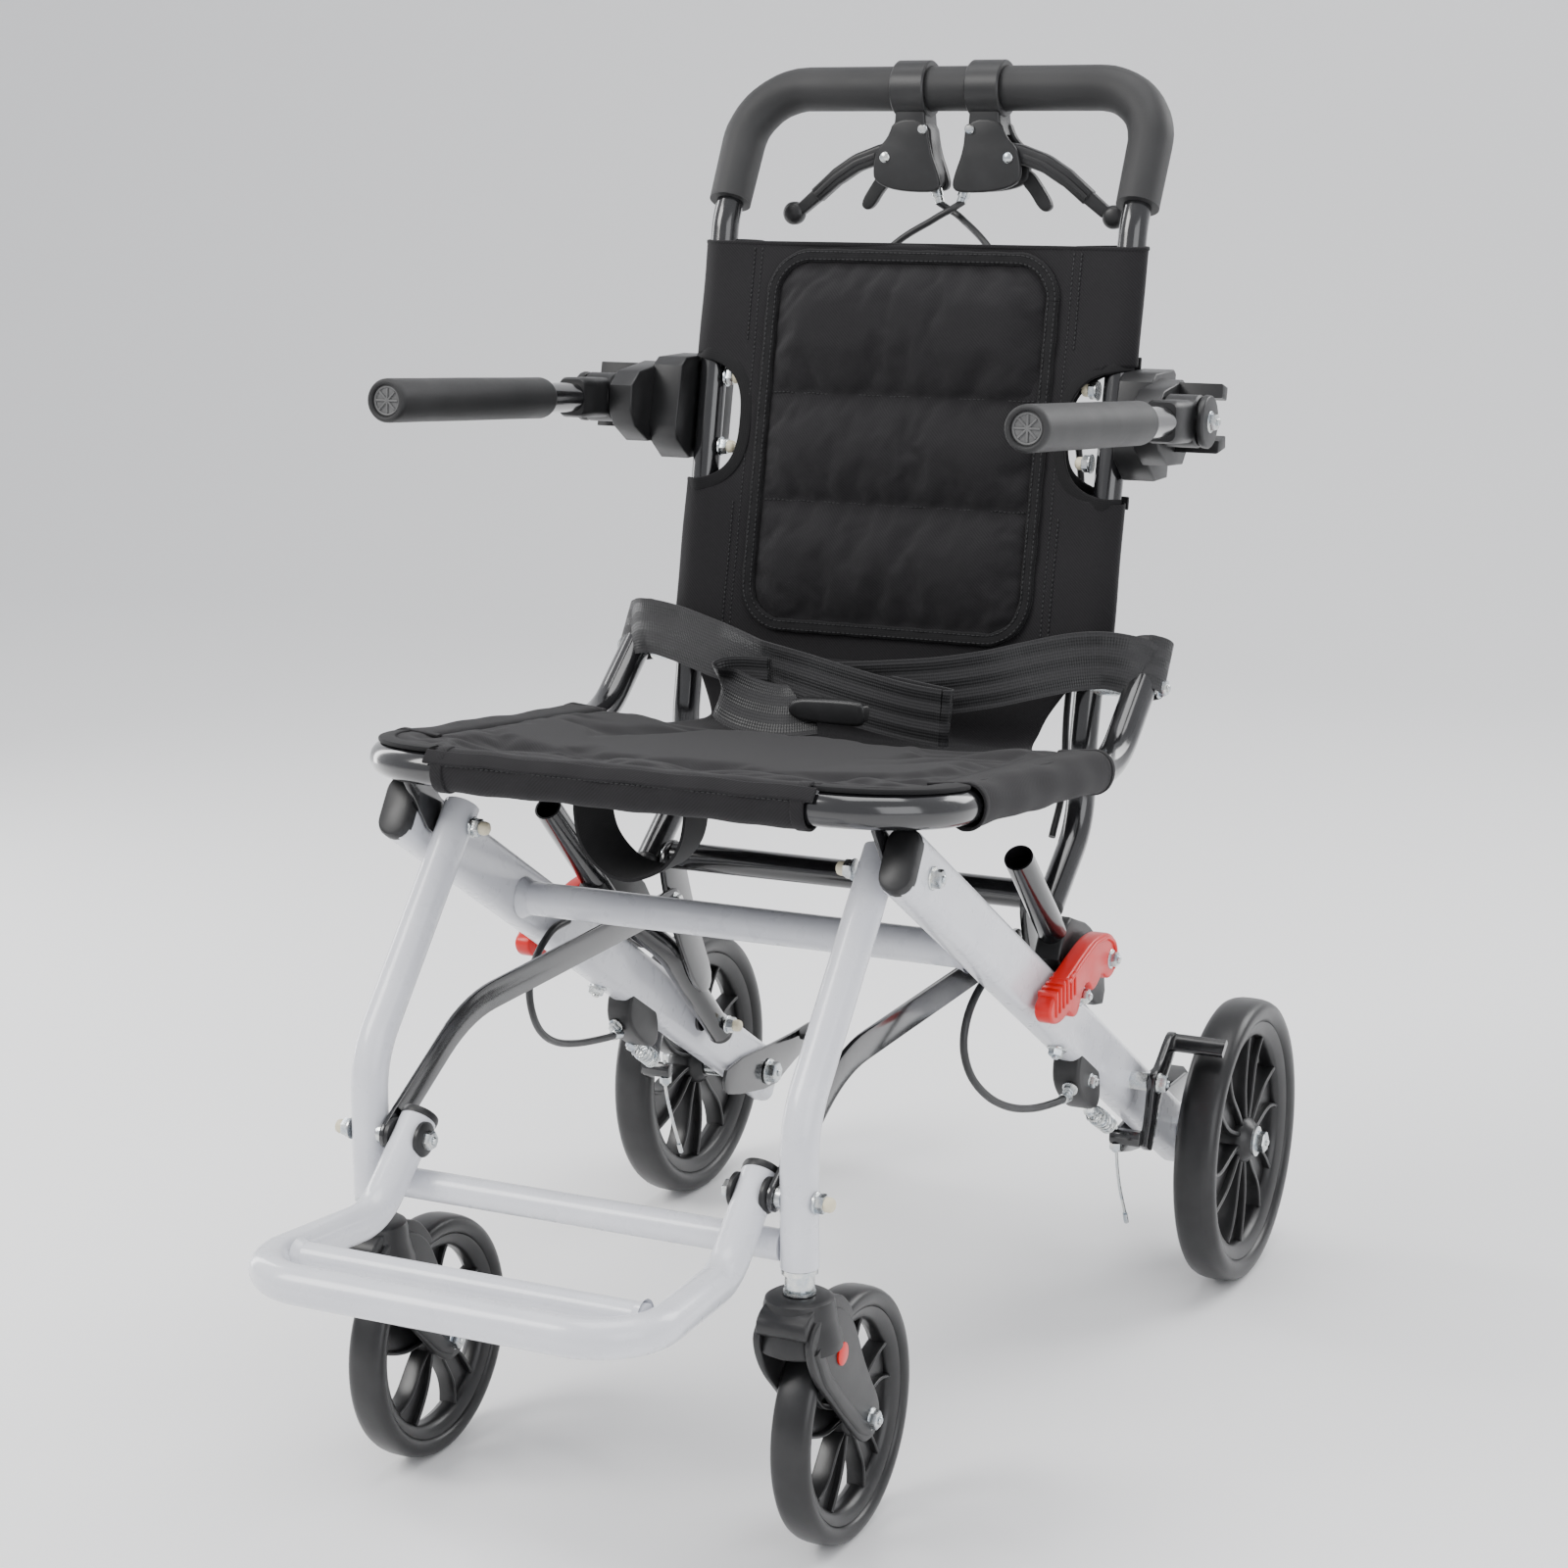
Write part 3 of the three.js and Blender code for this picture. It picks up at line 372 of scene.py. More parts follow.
def sweep(path, section, first_side=None, caps=True, twist=None, scale=None):
    """Verts, faces and flat coordinates of a closed section swept along points (mm in, metres out)."""
    pts = [Vector(p) for p in path]
    n = len(pts)
    count = len(section)
    verts, faces, uvs = [], [], []
    tangent = (pts[1] - pts[0]).normalized()
    side = Vector(first_side) if first_side else tangent.cross(Vector((0.0, 0.31, 0.95)))
    side = (side - tangent * side.dot(tangent)).normalized()
    run = 0.0
    around = [0.0]
    for i in range(count):
        p, q = section[i], section[(i + 1) % count]
        around.append(around[-1] + math.hypot(q[0] - p[0], q[1] - p[1]))
    for i, p in enumerate(pts):
        if i == 0:
            t = tangent
        elif i == n - 1:
            t = (pts[-1] - pts[-2]).normalized()
        else:
            t = ((pts[i + 1] - p).normalized() + (p - pts[i - 1]).normalized()).normalized()
        side = (side - t * side.dot(t)).normalized()
        up = t.cross(side)
        if i:
            run += (p - pts[i - 1]).length
        angle = twist(i / (n - 1)) if twist else 0.0
        size = scale(i / (n - 1)) if scale else 1.0
        c, s = math.cos(angle), math.sin(angle)
        for k, (a, b) in enumerate(section):
            x, y = (a * c - b * s) * size, (a * s + b * c) * size
            verts.append(at(*(p + side * x + up * y)))
            uvs.append((run * MM, around[k] * MM))
    for i in range(n - 1):
        for k in range(count):
            a, b = i * count + k, i * count + (k + 1) % count
            faces.append((a, b, b + count, a + count))
    if caps:
        for end, order in ((0, -1), (n - 1, 1)):
            ring = [end * count + k for k in range(count)]
            faces.append(tuple(ring if order > 0 else reversed(ring)))
    return verts, faces, uvs


def tube(name, points, radius, body, material, corner=30.0, sides=28, caps=True, step=6.0):
    verts, faces, uvs = sweep(rounded_path(points, corner, step), circle_section(radius, sides), caps=caps)
    return piece(name, verts, faces, body, material, uvs=uvs)


def pipe(name, points, radius, wall, body, material, corner=30.0, sides=28):
    """A tube with an open end that shows its inside, as one outer and one inner sweep joined at the mouth."""
    path = rounded_path(points, corner)
    outer, faces, uvs = sweep(path, circle_section(radius, sides), caps=False)
    inner, inner_faces, inner_uvs = sweep(path, circle_section(radius - wall, sides), caps=False)
    shift = len(outer)
    faces = list(faces) + [tuple(reversed([i + shift for i in f])) for f in inner_faces]
    last = shift - sides
    for k in range(sides):
        a, b = last + k, last + (k + 1) % sides
        faces.append((a, b, b + shift, a + shift))
        a, b = k, (k + 1) % sides
        faces.append((b, a, a + shift, b + shift))
    return piece(name, outer + inner, faces, body, material, uvs=uvs + inner_uvs)


def smooth_outline(points, rounds=2):
    """Chaikin corner cutting of a closed outline."""
    pts = [Vector((p[0], p[1])) for p in points]
    for _ in range(rounds):
        out = []
        for p, q in zip(pts, pts[1:] + pts[:1]):
            out += [p.lerp(q, 0.25), p.lerp(q, 0.75)]
        pts = out
    return [(p.x, p.y) for p in pts]


def slab(name, outline, low, high, body, material, axis="x", bevel=1.0, rounds=1, segments=2):
    """A flat plate from an outline, between low and high along an axis, with rounded edges.
    Outlines are (y, z) for axis x, (x, z) for axis y and (x, y) for axis z."""
    pts = smooth_outline(outline, rounds) if rounds else list(outline)
    area = sum(p[0] * q[1] - q[0] * p[1] for p, q in zip(pts, pts[1:] + pts[:1]))
    if area < 0:
        pts.reverse()
    place = {
        "x": lambda a, b, h: at(h, a, b),
        "y": lambda a, b, h: at(a, h, b),
        "z": lambda a, b, h: at(a, b, h),
    }[axis]
    work = bmesh.new()
    bottom = [work.verts.new(place(a, b, low)) for a, b in pts]
    top = [work.verts.new(place(a, b, high)) for a, b in pts]
    n = len(pts)
    for i in range(n):
        j = (i + 1) % n
        work.faces.new((bottom[i], bottom[j], top[j], top[i]))
    caps = [work.faces.new(top), work.faces.new(list(reversed(bottom)))]
    bmesh.ops.recalc_face_normals(work, faces=work.faces[:])
    if bevel:
        rims = [e for f in caps for e in f.edges]
        bmesh.ops.bevel(work, geom=rims, offset=bevel * MM, segments=segments, profile=0.5, affect="EDGES",
            clamp_overlap=True)
    bmesh.ops.triangulate(work, faces=[f for f in work.faces if len(f.verts) > 4])
    mesh = bpy.data.meshes.new(name)
    work.to_mesh(mesh)
    work.free()
    obj = bpy.data.objects.new(name, mesh)
    scene.collection.objects.link(obj)
    mesh.materials.append(material)
    shade_smooth(obj, 40)
    if body:
        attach(obj, body)
    return obj


def lathe(name, centre, axis, profile, body, material, sides=64, angle=38):
    """A turned piece. profile is (radius, along) in millimetres; radius 0 closes it."""
    axis = Vector(axis).normalized()
    side = axis.orthogonal().normalized()
    other = axis.cross(side)
    origin = Vector(centre)
    verts, faces = [], []
    rows = []
    for r, h in profile:
        if r < 1e-6:
            rows.append([len(verts)])
            verts.append(at(*(origin + axis * h)))
        else:
            row = []
            for k in range(sides):
                a = 2 * math.pi * k / sides
                row.append(len(verts))
                verts.append(at(*(origin + axis * h + (side * math.cos(a) + other * math.sin(a)) * r)))
            rows.append(row)
    for p, q in zip(rows, rows[1:]):
        for k in range(sides):
            j = (k + 1) % sides
            if len(p) == 1 and len(q) == 1:
                continue
            if len(p) == 1:
                faces.append((p[0], q[j], q[k]))
            elif len(q) == 1:
                faces.append((p[k], p[j], q[0]))
            else:
                faces.append((p[k], p[j], q[j], q[k]))
    return piece(name, verts, faces, body, material, angle=angle)


def merge(name, objs, body):
    """Several meshes of one piece joined into one object, keeping their materials."""
    work = bmesh.new()
    materials = []
    for obj in objs:
        start = len(work.faces)
        work.from_mesh(obj.data)
        work.faces.ensure_lookup_table()
        own = obj.data.materials[0]
        if own not in materials:
            materials.append(own)
        index = materials.index(own)
        for face in work.faces[start:]:
            face.material_index = index
    mesh = bpy.data.meshes.new(name)
    work.to_mesh(mesh)
    work.free()
    for obj in objs:
        bpy.data.objects.remove(obj)
    for material in materials:
        mesh.materials.append(material)
    out = bpy.data.objects.new(name, mesh)
    scene.collection.objects.link(out)
    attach(out, body)
    return out


def bolt(name, centre, direction, body, across=10.0, height=5.0, washer=0.0, dome=True):
    """A hexagon head with its washer and rounded crown, seated at centre and standing out along direction."""
    axis = Vector(direction).normalized()
    side = axis.orthogonal().normalized()
    other = axis.cross(side)
    origin = Vector(centre)
    radius = across / 2 / math.cos(math.pi / 6)
    parts = []
    lift = 0.0
    if washer:
        profile = [(0, 0), (washer, 0), (washer, 0.9), (washer - 0.4, 1.3), (0, 1.3)]
        parts.append(lathe("w", centre, axis, profile, None, ZINC, sides=24))
        lift = 1.2
    levels = [(1.0, 0.0), (1.0, height - 1.1), (0.93, height - 0.3), (0.80, height)]
    verts, faces = [], []
    for scale, h in levels:
        for k in range(6):
            a = math.pi / 3 * k + 0.3
            spoke = (side * math.cos(a) + other * math.sin(a)) * radius * scale
            verts.append(at(*(origin + axis * (h + lift) + spoke)))
    for i in range(len(levels) - 1):
        for k in range(6):
            j = (k + 1) % 6
            faces.append((i * 6 + k, i * 6 + j, i * 6 + 6 + j, i * 6 + 6 + k))
    faces.append(tuple(range(18, 24)))
    faces.append(tuple(reversed(range(6))))
    parts.append(piece("h", verts, faces, None, ZINC, angle=25))
    if dome:
        top = height + lift
        profile = [(0, top - 1), (2.6, top - 1), (2.6, top + 0.9), (2.0, top + 1.5), (0, top + 1.7)]
        parts.append(lathe("d", centre, axis, profile, None, ZINC, sides=16))
    return merge(name, parts, body)


def insert_nut(name, centre, direction, body):
    """A plated nut with a cream nylon dome."""
    axis = Vector(direction).normalized()
    nut = bolt(name + "_nut", centre, direction, body, 10, 5, 6.5, dome=False)
    top = Vector(centre) + axis * 6.0
    profile = [(0, -1), (4.3, -1), (4.3, 2.6), (3.8, 4.2), (2.4, 5.2), (0, 5.5)]
    cap = lathe(name + "_cap", top, axis, profile, body, CREAM, sides=24)
    return nut, cap


def lerp(a, b, t):
    return a + (b - a) * t


def smoothstep(a, b, x):
    t = min(1.0, max(0.0, (x - a) / (b - a)))
    return t * t * (3 - 2 * t)


# ---------------------------------------------------------------- driving sizes, in the same millimetres
LEG_AT = mm(JOINT_AT["legs_fold"])
LINK_AT = mm(JOINT_AT["fold"])
FOOT_AT = mm(JOINT_AT["footrest_flip"])
BACK_AT = mm(JOINT_AT["seat_fold"])
KNEE_AT = mm(JOINT_AT["knee_fold"])
ARM_AT = mm(JOINT_AT["armrest_lift_right"])
STEM_AT = mm(JOINT_AT["caster_swivel_right"])
WHEEL_X = 217
SLOPE = math.radians(32)
STAY_X, STAY_W, STAY_H = 165, 20, 39
LEAN = 0.212


def stay_at(reach, lift=0.0):
    return (
        reach * math.cos(SLOPE) + lift * math.sin(SLOPE),
        102 - reach * math.sin(SLOPE) + lift * math.cos(SLOPE),
    )


def back_y(z):
    return -69 + (z - 725) * LEAN


def stadium(width, height, steps=8):
    """A flat tube's section: straight sides and round ends."""
    r = width / 2
    flat = height / 2 - r
    out = [(r * math.cos(math.pi * i / steps),
        flat + r * math.sin(math.pi * i / steps)) for i in range(steps + 1)]
    out += [(r * math.cos(math.pi + math.pi * i / steps),
        -flat + r * math.sin(math.pi + math.pi * i / steps)) for i in range(steps + 1)]
    return out


def flat_rounded(width, height, radius, steps=5):
    """A rounded rectangle section."""
    out = []
    for sx, sy, start in ((1, 1, 0), (-1, 1, 90), (-1, -1, 180), (1, -1, 270)):
        cx, cy = sx * (width / 2 - radius), sy * (height / 2 - radius)
        for i in range(steps + 1):
            a = math.radians(start + 90 * i / steps)
            out.append((cx + radius * math.cos(a), cy + radius * math.sin(a)))
    return out


# ---------------------------------------------------------------- stays, legs and cross tubes
for side, s in SIDES:
    x = s * STAY_X
    top, end = stay_at(-562), stay_at(26)
    path = [(x, *stay_at(r)) for r in np.linspace(-562, 26, 30)]
    verts, faces, uvs = sweep(path, flat_rounded(STAY_W, STAY_H, 7.5), first_side=(1, 0, 0))
    stay = piece(f"stay_{side}", verts, faces, "frame", SILVER, uvs=uvs)
    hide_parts(f"rear_stay_{side}")
    # The cap: a moulded oval plug, standing slightly proud, with a shallow rim.
    cap_path = [(x, *stay_at(r)) for r in (-560, -565.5, -567.2, -568)]
    sizes_at = (1.03, 1.03, 0.98, 0.86)
    verts, faces, uvs = sweep(cap_path, stadium(STAY_W + 0.2, STAY_H + 0.2, 10), first_side=(1, 0, 0),
        scale=lambda t: sizes_at[min(3, int(round(t * 3)))])
    cap = piece(f"cap_{side}", verts, faces, "frame", PLASTIC, uvs=uvs)
    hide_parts(f"stay_cap_{side}")
    # Bolts through the stay: the leg's, the link's, and the small fixing under it.
    bolt(f"leg_bolt_{side}", (s * 175, LEG_AT.y, LEG_AT.z), (s, 0, 0), "frame", 10, 5.5, 7)
    insert_nut(f"leg_nut_{side}", (s * 127, LEG_AT.y, LEG_AT.z), (-s, 0, 0), "frame")
    bolt(f"arm_bolt_{side}", (s * 194, LINK_AT.y, LINK_AT.z), (s, 0, 0), "frame", 10, 5.0, 7)
    lathe(f"arm_spacer_{side}", (s * 174.5, LINK_AT.y, LINK_AT.z), (s, 0, 0),
        [(0, 0), (6.8, 0), (6.8, 12.5), (0, 12.5)], "frame", ZINC, sides=6)
    lathe(f"link_spacer_{side}", (s * 157, LINK_AT.y, LINK_AT.z), (-s, 0, 0),
        [(0, 0), (7.5, 0), (7.5, 4.5), (0, 4.5)], "frame", BLACK, sides=24)
    insert_nut(f"link_nut_{side}", (s * 132.5, LINK_AT.y, LINK_AT.z), (-s, 0, 0), "frame")
    under = stay_at(-262, -19.6)
    bolt(f"under_bolt_{side}", (s * 168, *under), (0, -math.sin(SLOPE), -math.cos(SLOPE)), "frame", 9, 4.5,
        6.5)

ends = ((-154.5, -350, 316), (154.5, -350, 316))
cross = tube("upper_cross", ends, 11, "frame", SILVER, sides=32)
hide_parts("upper_cross_tube")
for side, s in SIDES:
    weld_profile = [(11.2, -7), (12.0, -3.2), (13.2, -1.2), (13.6, 0)]
    lathe(f"cross_weld_{side}", (s * 154.8, -350, 316), (s, 0, 0), weld_profile, "frame", SILVER,
        sides=32)

# Front legs: bent tubes with the pivot bolts and the clearance washers.
for side, s in SIDES:
    up = Vector((0, LEG_AT.y + 558, LEG_AT.z - 268)).normalized()
    top = Vector((s * 140, LEG_AT.y, LEG_AT.z)) + up * 14
    leg = tube(f"leg_{side}", [top, (s * 140, -558, 268), (s * 140, -558, 184.5)], 11, "front_legs", SILVER,
        corner=60, sides=32)
    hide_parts(f"front_leg_{side}")
    bolt(f"foot_bolt_{side}", (s * 100, FOOT_AT.y, FOOT_AT.z), (-s, 0, 0), "front_legs", 10, 5, 0)
    insert_nut(f"foot_nut_{side}", (s * 151, FOOT_AT.y, FOOT_AT.z), (s, 0, 0), "front_legs")
    lathe(f"foot_sleeve_{side}", (s * 128, FOOT_AT.y, FOOT_AT.z), (s, 0, 0),
        [(0, 0), (6.4, 0), (6.4, 3.6), (0, 3.6)], "front_legs", ZINC, sides=24)
    stem = lathe(
        f"stem_{side}", (s * 140, STEM_AT.y, 150), (0, 0, 1),
        [(0, 0), (5, 0), (5, 19.4), (9.4, 19.4), (9.4, 21.2), (6.6, 21.4), (6.6, 22.6), (8.6, 22.8),
            (8.6, 31.0), (10.6, 31.2), (10.6, 34), (0, 34)],
        "front_legs", ZINC, sides=12)
    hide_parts(f"caster_stem_{side}")
low_cross = tube("lower_cross", ((-129.4, -557, 195), (129.4, -557, 195)), 9, "front_legs", SILVER,
    sides=32)
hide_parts("lower_cross_tube")

# Braces: flat bars from the footrest pivot up to the link.
for side, s in SIDES:
    line = [Vector((0, FOOT_AT.y, FOOT_AT.z)), Vector((0, -470, 277)), Vector((0, -200, 282))]
    path = rounded_path(line, 120, 10)
    start, finish = path[0], path[-1]
    head = (path[1] - path[0]).normalized()
    tail = (path[-1] - path[-2]).normalized()
    upper, lower = [], []
    for i, p in enumerate(path):
        t = (path[min(i + 1, len(path) - 1)] - path[max(i - 1, 0)]).normalized()
        normal = Vector((0, -t.z, t.y))
        upper.append(p + normal * 9)
        lower.append(p - normal * 9)
    cap_a, cap_b = [], []
    for k in range(1, 8):
        a = math.pi * k / 8
        normal_b = Vector((0, -tail.z, tail.y))
        cap_b.append(finish + normal_b * 9 * math.cos(a) + tail * 9 * math.sin(a))
        normal_a = Vector((0, -head.z, head.y))
        cap_a.append(start - normal_a * 9 * math.cos(a) - head * 9 * math.sin(a))
    outline = [(p.y, p.z) for p in upper + cap_b + list(reversed(lower)) + cap_a]
    low, high = sorted((s * 124.4, s * 127.6))
    bar = slab(f"brace_bar_{side}", outline, low, high, "braces", BLACK, bevel=0.6, rounds=0)
    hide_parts(f"brace_{side}")
    bolt(f"brace_bolt_{side}", (s * 125, -200, 282), (-s, 0, 0), "braces", 9, 4.2, 6.5)

# ---------------------------------------------------------------- footrest
foot_side = lambda s: [(s * 112, -549, 232), (s * 113, -598, 187)]
loop = foot_side(-1) + [(-123, -719, 193), (123, -719, 193)] + list(reversed(foot_side(1)))
rest = tube("footrest_loop", loop, 11, "footrest", SILVER, corner=38, sides=32, step=4)
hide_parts("footrest_frame")
tube("footrest_bar", ((-109, -680, 193), (109, -680, 193)), 8, "footrest", SILVER, sides=28)
for side, s in SIDES:
    for end in (-1, 1):
        if end < 0:
            lathe(f"bar_weld_{side}_{'a' if end < 0 else 'b'}", (s * 108.5, -680, 193), (s, 0, 0),
                [(8.1, -5), (9.0, -2), (10.2, 0)], "footrest", SILVER, sides=28)
    head = (Vector((112, -549, 232)) - Vector((113, -598, 187))).normalized()
    head.x *= s
    base = Vector((s * 112, -549, 232))
    lathe(f"arm_plug_{side}", base, head, [(0, -1), (11.3, -1), (11.5, 1.5), (11.0, 3.4), (8.0, 4.6),
        (0, 5.0)], "footrest", PLASTIC, sides=32)
    for face in (-1, 1):
        saddle = [(0, 0), (10.5, 0), (10.5, 2.2), (8.6, 3.6), (0, 3.8)]
        name = f"saddle_{side}_{'in' if face < 0 else 'out'}"
        lathe(name, (s * 112 + s * face * 8.8, FOOT_AT.y, FOOT_AT.z), (s * face, 0, 0), saddle, "footrest",
            PLASTIC, sides=28)

# ---------------------------------------------------------------- folding link and latches
LINK_ANGLE = math.radians(134.7)
ALONG = Vector((0, math.cos(LINK_ANGLE), math.sin(LINK_ANGLE)))


def link_at(x, reach, lift=0.0):
    return Vector((x, LINK_AT.y, LINK_AT.z)) + ALONG * reach + Vector((0, ALONG.z, -ALONG.y)) * lift


for side, s in SIDES:
    path = [link_at(s * 143, -14), link_at(s * 143, 102), link_at(s * 165.8, 148), link_at(s * 165.8, 276)]
    link = pipe(f"link_{side}", path, 9.2, 1.3, "link", BLACK, corner=45, sides=32)
    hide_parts(f"link_tube_{side}")
    blob = link_at(s * 143, -14)
    lathe(f"link_end_{side}", blob, -ALONG, [(0, -2), (9.3, -2), (9.3, 0.6), (8.6, 2.0), (0, 2.2)], "link",
        PLASTIC, sides=28)
    low, high = sorted((s * 157.0, s * 175.0))
    saddle = [(-168, 232.5), (-214, 261), (-250, 284.5), (-246, 296), (-232, 312), (-216, 306), (-196, 299),
        (-176, 284), (-160, 250)]
    slab(f"link_saddle_{side}", saddle, low, high, "link", PLASTIC, bevel=2.0, rounds=1,
        segments=3)
    low, high = sorted((s * 129.6, s * 134.2))
    plate_outline = [(-130, 208), (-150, 198), (-184, 250), (-204, 296), (-204, 314), (-190, 324),
        (-177, 317), (-171, 296), (-152, 248)]
    slab(f"knee_plate_{side}", plate_outline, low, high, "link", BLACK, bevel=0.8, rounds=2)
    bolt(f"knee_bolt_{side}", (s * 129.4, KNEE_AT.y, KNEE_AT.z), (-s, 0, 0), "backrest", 9, 4, 0)
    # Latch: a thick curved lever with a raised rim, ribs on its thumb end and two hooks.
    low, high = sorted((s * 179.2, s * 190.4))
    lever = [
        (-201, 264), (-188, 266), (-183, 277), (-187, 289), (-203, 297), (-226, 298), (-250, 292),
            (-276, 284),
        (-301, 277), (-306, 269), (-299, 260), (-283, 258), (-271, 262), (-263, 255), (-255, 256),
            (-250, 265),
        (-243, 272), (-235, 271), (-231, 264), (-222, 265), (-211, 272),
    ]
    body = slab(f"latch_body_{side}", lever, low, high, None, RED, bevel=1.6, rounds=2, segments=3)
    ribs = [body]
    for k in range(6):
        a = (-296 + k * 6.5, 279.5 + k * 1.2)
        b = (a[0] + 1.5, a[1] - 15)
        lo, hi = sorted((s * 178.6, s * 191.6))
        ribs.append(slab("rib", [(a[0] - 1.3, a[1] + 0.6), (a[0] + 1.3, a[1] + 1.1), (b[0] + 1.3, b[1]),
            (b[0] - 1.3, b[1] - 0.4)], lo, hi, None, RED, bevel=0.6, rounds=0))
    rim_path = [Vector((s * 190.2, y, z)) for y, z in ((-192, 270), (-187, 277), (-190, 287), (-204, 293.5),
        (-226, 294.5), (-250, 288.5), (-274, 281))]
    verts, faces, uvs = sweep(rounded_path(rim_path, 12, 3), circle_section(1.7, 12))
    ribs.append(piece("rim", verts, faces, None, RED))
    latch = merge(f"latch_lever_{side}", ribs, f"latch_{side}")
    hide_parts(f"latch_{side}")
    latch_at = mm(JOINT_AT[f"latch_lift_{side}"])
    bolt(f"latch_bolt_{side}", (s * 189.8, latch_at.y, latch_at.z), (s, 0, 0), "link", 8.5, 4.2, 6.6)
    bolt(f"catch_bolt_{side}", (s * 186.5, -242, 264), (s, 0, 0), "frame", 8.5, 5, 6.8)
    lathe(f"catch_pin_{side}", (s * 174, -242, 264), (s, 0, 0), [(0, 0), (4.2, 0), (4.2, 14), (0, 14)],
        "frame", ZINC, sides=20)
bar = tube("link_cross", ((-129.0, KNEE_AT.y, KNEE_AT.z), (129.0, KNEE_AT.y, KNEE_AT.z)), 9.5, "link",
    BLACK, sides=32)
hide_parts("link_cross_tube")


# ---------------------------------------------------------------- wheels
def wheel(name, centre, radius, width, spokes, hub_radius, rim_body, nodes):
    """Solid tyre, deep plastic rim with a stepped lip, a dished web of
    paired wavy spokes, and a stepped hub."""
    bed = radius * 0.84
    half = width / 2
    side = [(bed + 0.4, half * 0.60), (bed + 0.6, half * 0.78), (radius * 0.875, half * 0.92),
        (radius * 0.91, half * 1.0),
            (radius * 0.95, half * 0.97), (radius * 0.975, half * 0.86), (radius * 0.99, half * 0.66),
                (radius * 0.998, half * 0.4)]
    profile = [(r, -h) for r, h in side] + [(radius, 0)] + [(r, h) for r, h in reversed(side)]
    profile.append(profile[0])
    tyre = lathe(f"{name}_tread", centre, (1, 0, 0), profile, rim_body, TYRE, sides=96, angle=None)
    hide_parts(nodes[1])
    rim_half = half * 0.80
    inner = bed - radius * 0.11
    profile = [
        (inner, -rim_half * 0.25), (inner + 1.6, -rim_half * 0.62), (inner + 3.2, -rim_half * 0.72),
            (bed - 2.2, -rim_half * 0.90),
        (bed + 0.2, -rim_half * 0.94), (bed + 0.2, rim_half * 0.94), (bed - 2.2, rim_half * 0.90),
            (inner + 3.2, rim_half * 0.72),
        (inner + 1.6, rim_half * 0.62), (inner, rim_half * 0.25), (inner, -rim_half * 0.25),
    ]
    parts = [lathe("r", centre, (1, 0, 0), profile, None, SATIN, sides=96)]
    hub = [
        (0, -half * 0.95), (hub_radius * 0.62, -half * 0.95), (hub_radius * 0.70, -half * 0.86),
            (hub_radius * 0.92, -half * 0.62),
        (hub_radius, -half * 0.3), (hub_radius, half * 0.3), (hub_radius * 0.92, half * 0.62),
            (hub_radius * 0.70, half * 0.86),
        (hub_radius * 0.62, half * 0.95), (0, half * 0.95),
    ]
    parts.append(lathe("h", centre, (1, 0, 0), hub, None, SATIN, sides=48))
    cx, cy, cz = centre
    # Each spoke is a thin web with a raised rib on each edge.
    # The two ribs meet at the hub and part at the rim.
    for k in range(spokes):
        middle = 2 * math.pi * k / spokes + 0.26
        spread_in, spread_out = 0.30, 0.235
        rows = 12
        left, right = [], []
        for i in range(rows + 1):
            t = i / rows
            r = lerp(hub_radius * 0.75, inner + 1.0, t)
            wave = 0.10 * math.sin(t * math.pi * 1.0)
            open_angle = lerp(spread_in * 0.8, spread_out,
                smoothstep(0.0, 1.0, t)) + 0.02 * math.sin(2 * math.pi * t)
            left.append((r, middle + open_angle * lerp(1.0, 0.92, t) + wave))
            right.append((r, middle - open_angle * lerp(1.0, 0.92, t) + wave))
        def place(r, a, h):
            return Vector((cx + h, cy + r * math.cos(a), cz + r * math.sin(a)))
        verts, faces = [], []
        thick = half * 0.16
        for (rl, al), (rr, ar) in zip(left, right):
            for h in (-thick, thick):
                for m in range(5):
                    verts.append(at(*place(lerp(rl, rr, m / 4), lerp(al, ar, m / 4), h)))
        for i in range(rows):
            for m in range(4):
                a = i * 10 + m
                faces.append((a, a + 1, a + 11, a + 10))
                a += 5
                faces.append((a + 1, a, a + 10, a + 11))
            for m in (0, 4):
                a = i * 10 + m
                quad = (a, a + 10, a + 15, a + 5)
                faces.append(quad if m == 0 else tuple(reversed(quad)))
        parts.append(piece("s", verts, faces, None, SATIN))
        for edge in (left, right):
            path = [place(r, a, 0) for r, a in edge]
            section = flat_rounded(3.0 if radius > 80 else 2.4, width * 0.50, 1.1, 3)
            verts, faces, _ = sweep(path, section,
                first_side=Vector((0, -math.sin(edge[0][1]), math.cos(edge[0][1]))))
            parts.append(piece("e", verts, faces, None, SATIN))
    rim = merge(f"{name}_rim", parts, rim_body)
    for polygon in rim.data.polygons:
        polygon.use_smooth = True
    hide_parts(nodes[0])
    return rim


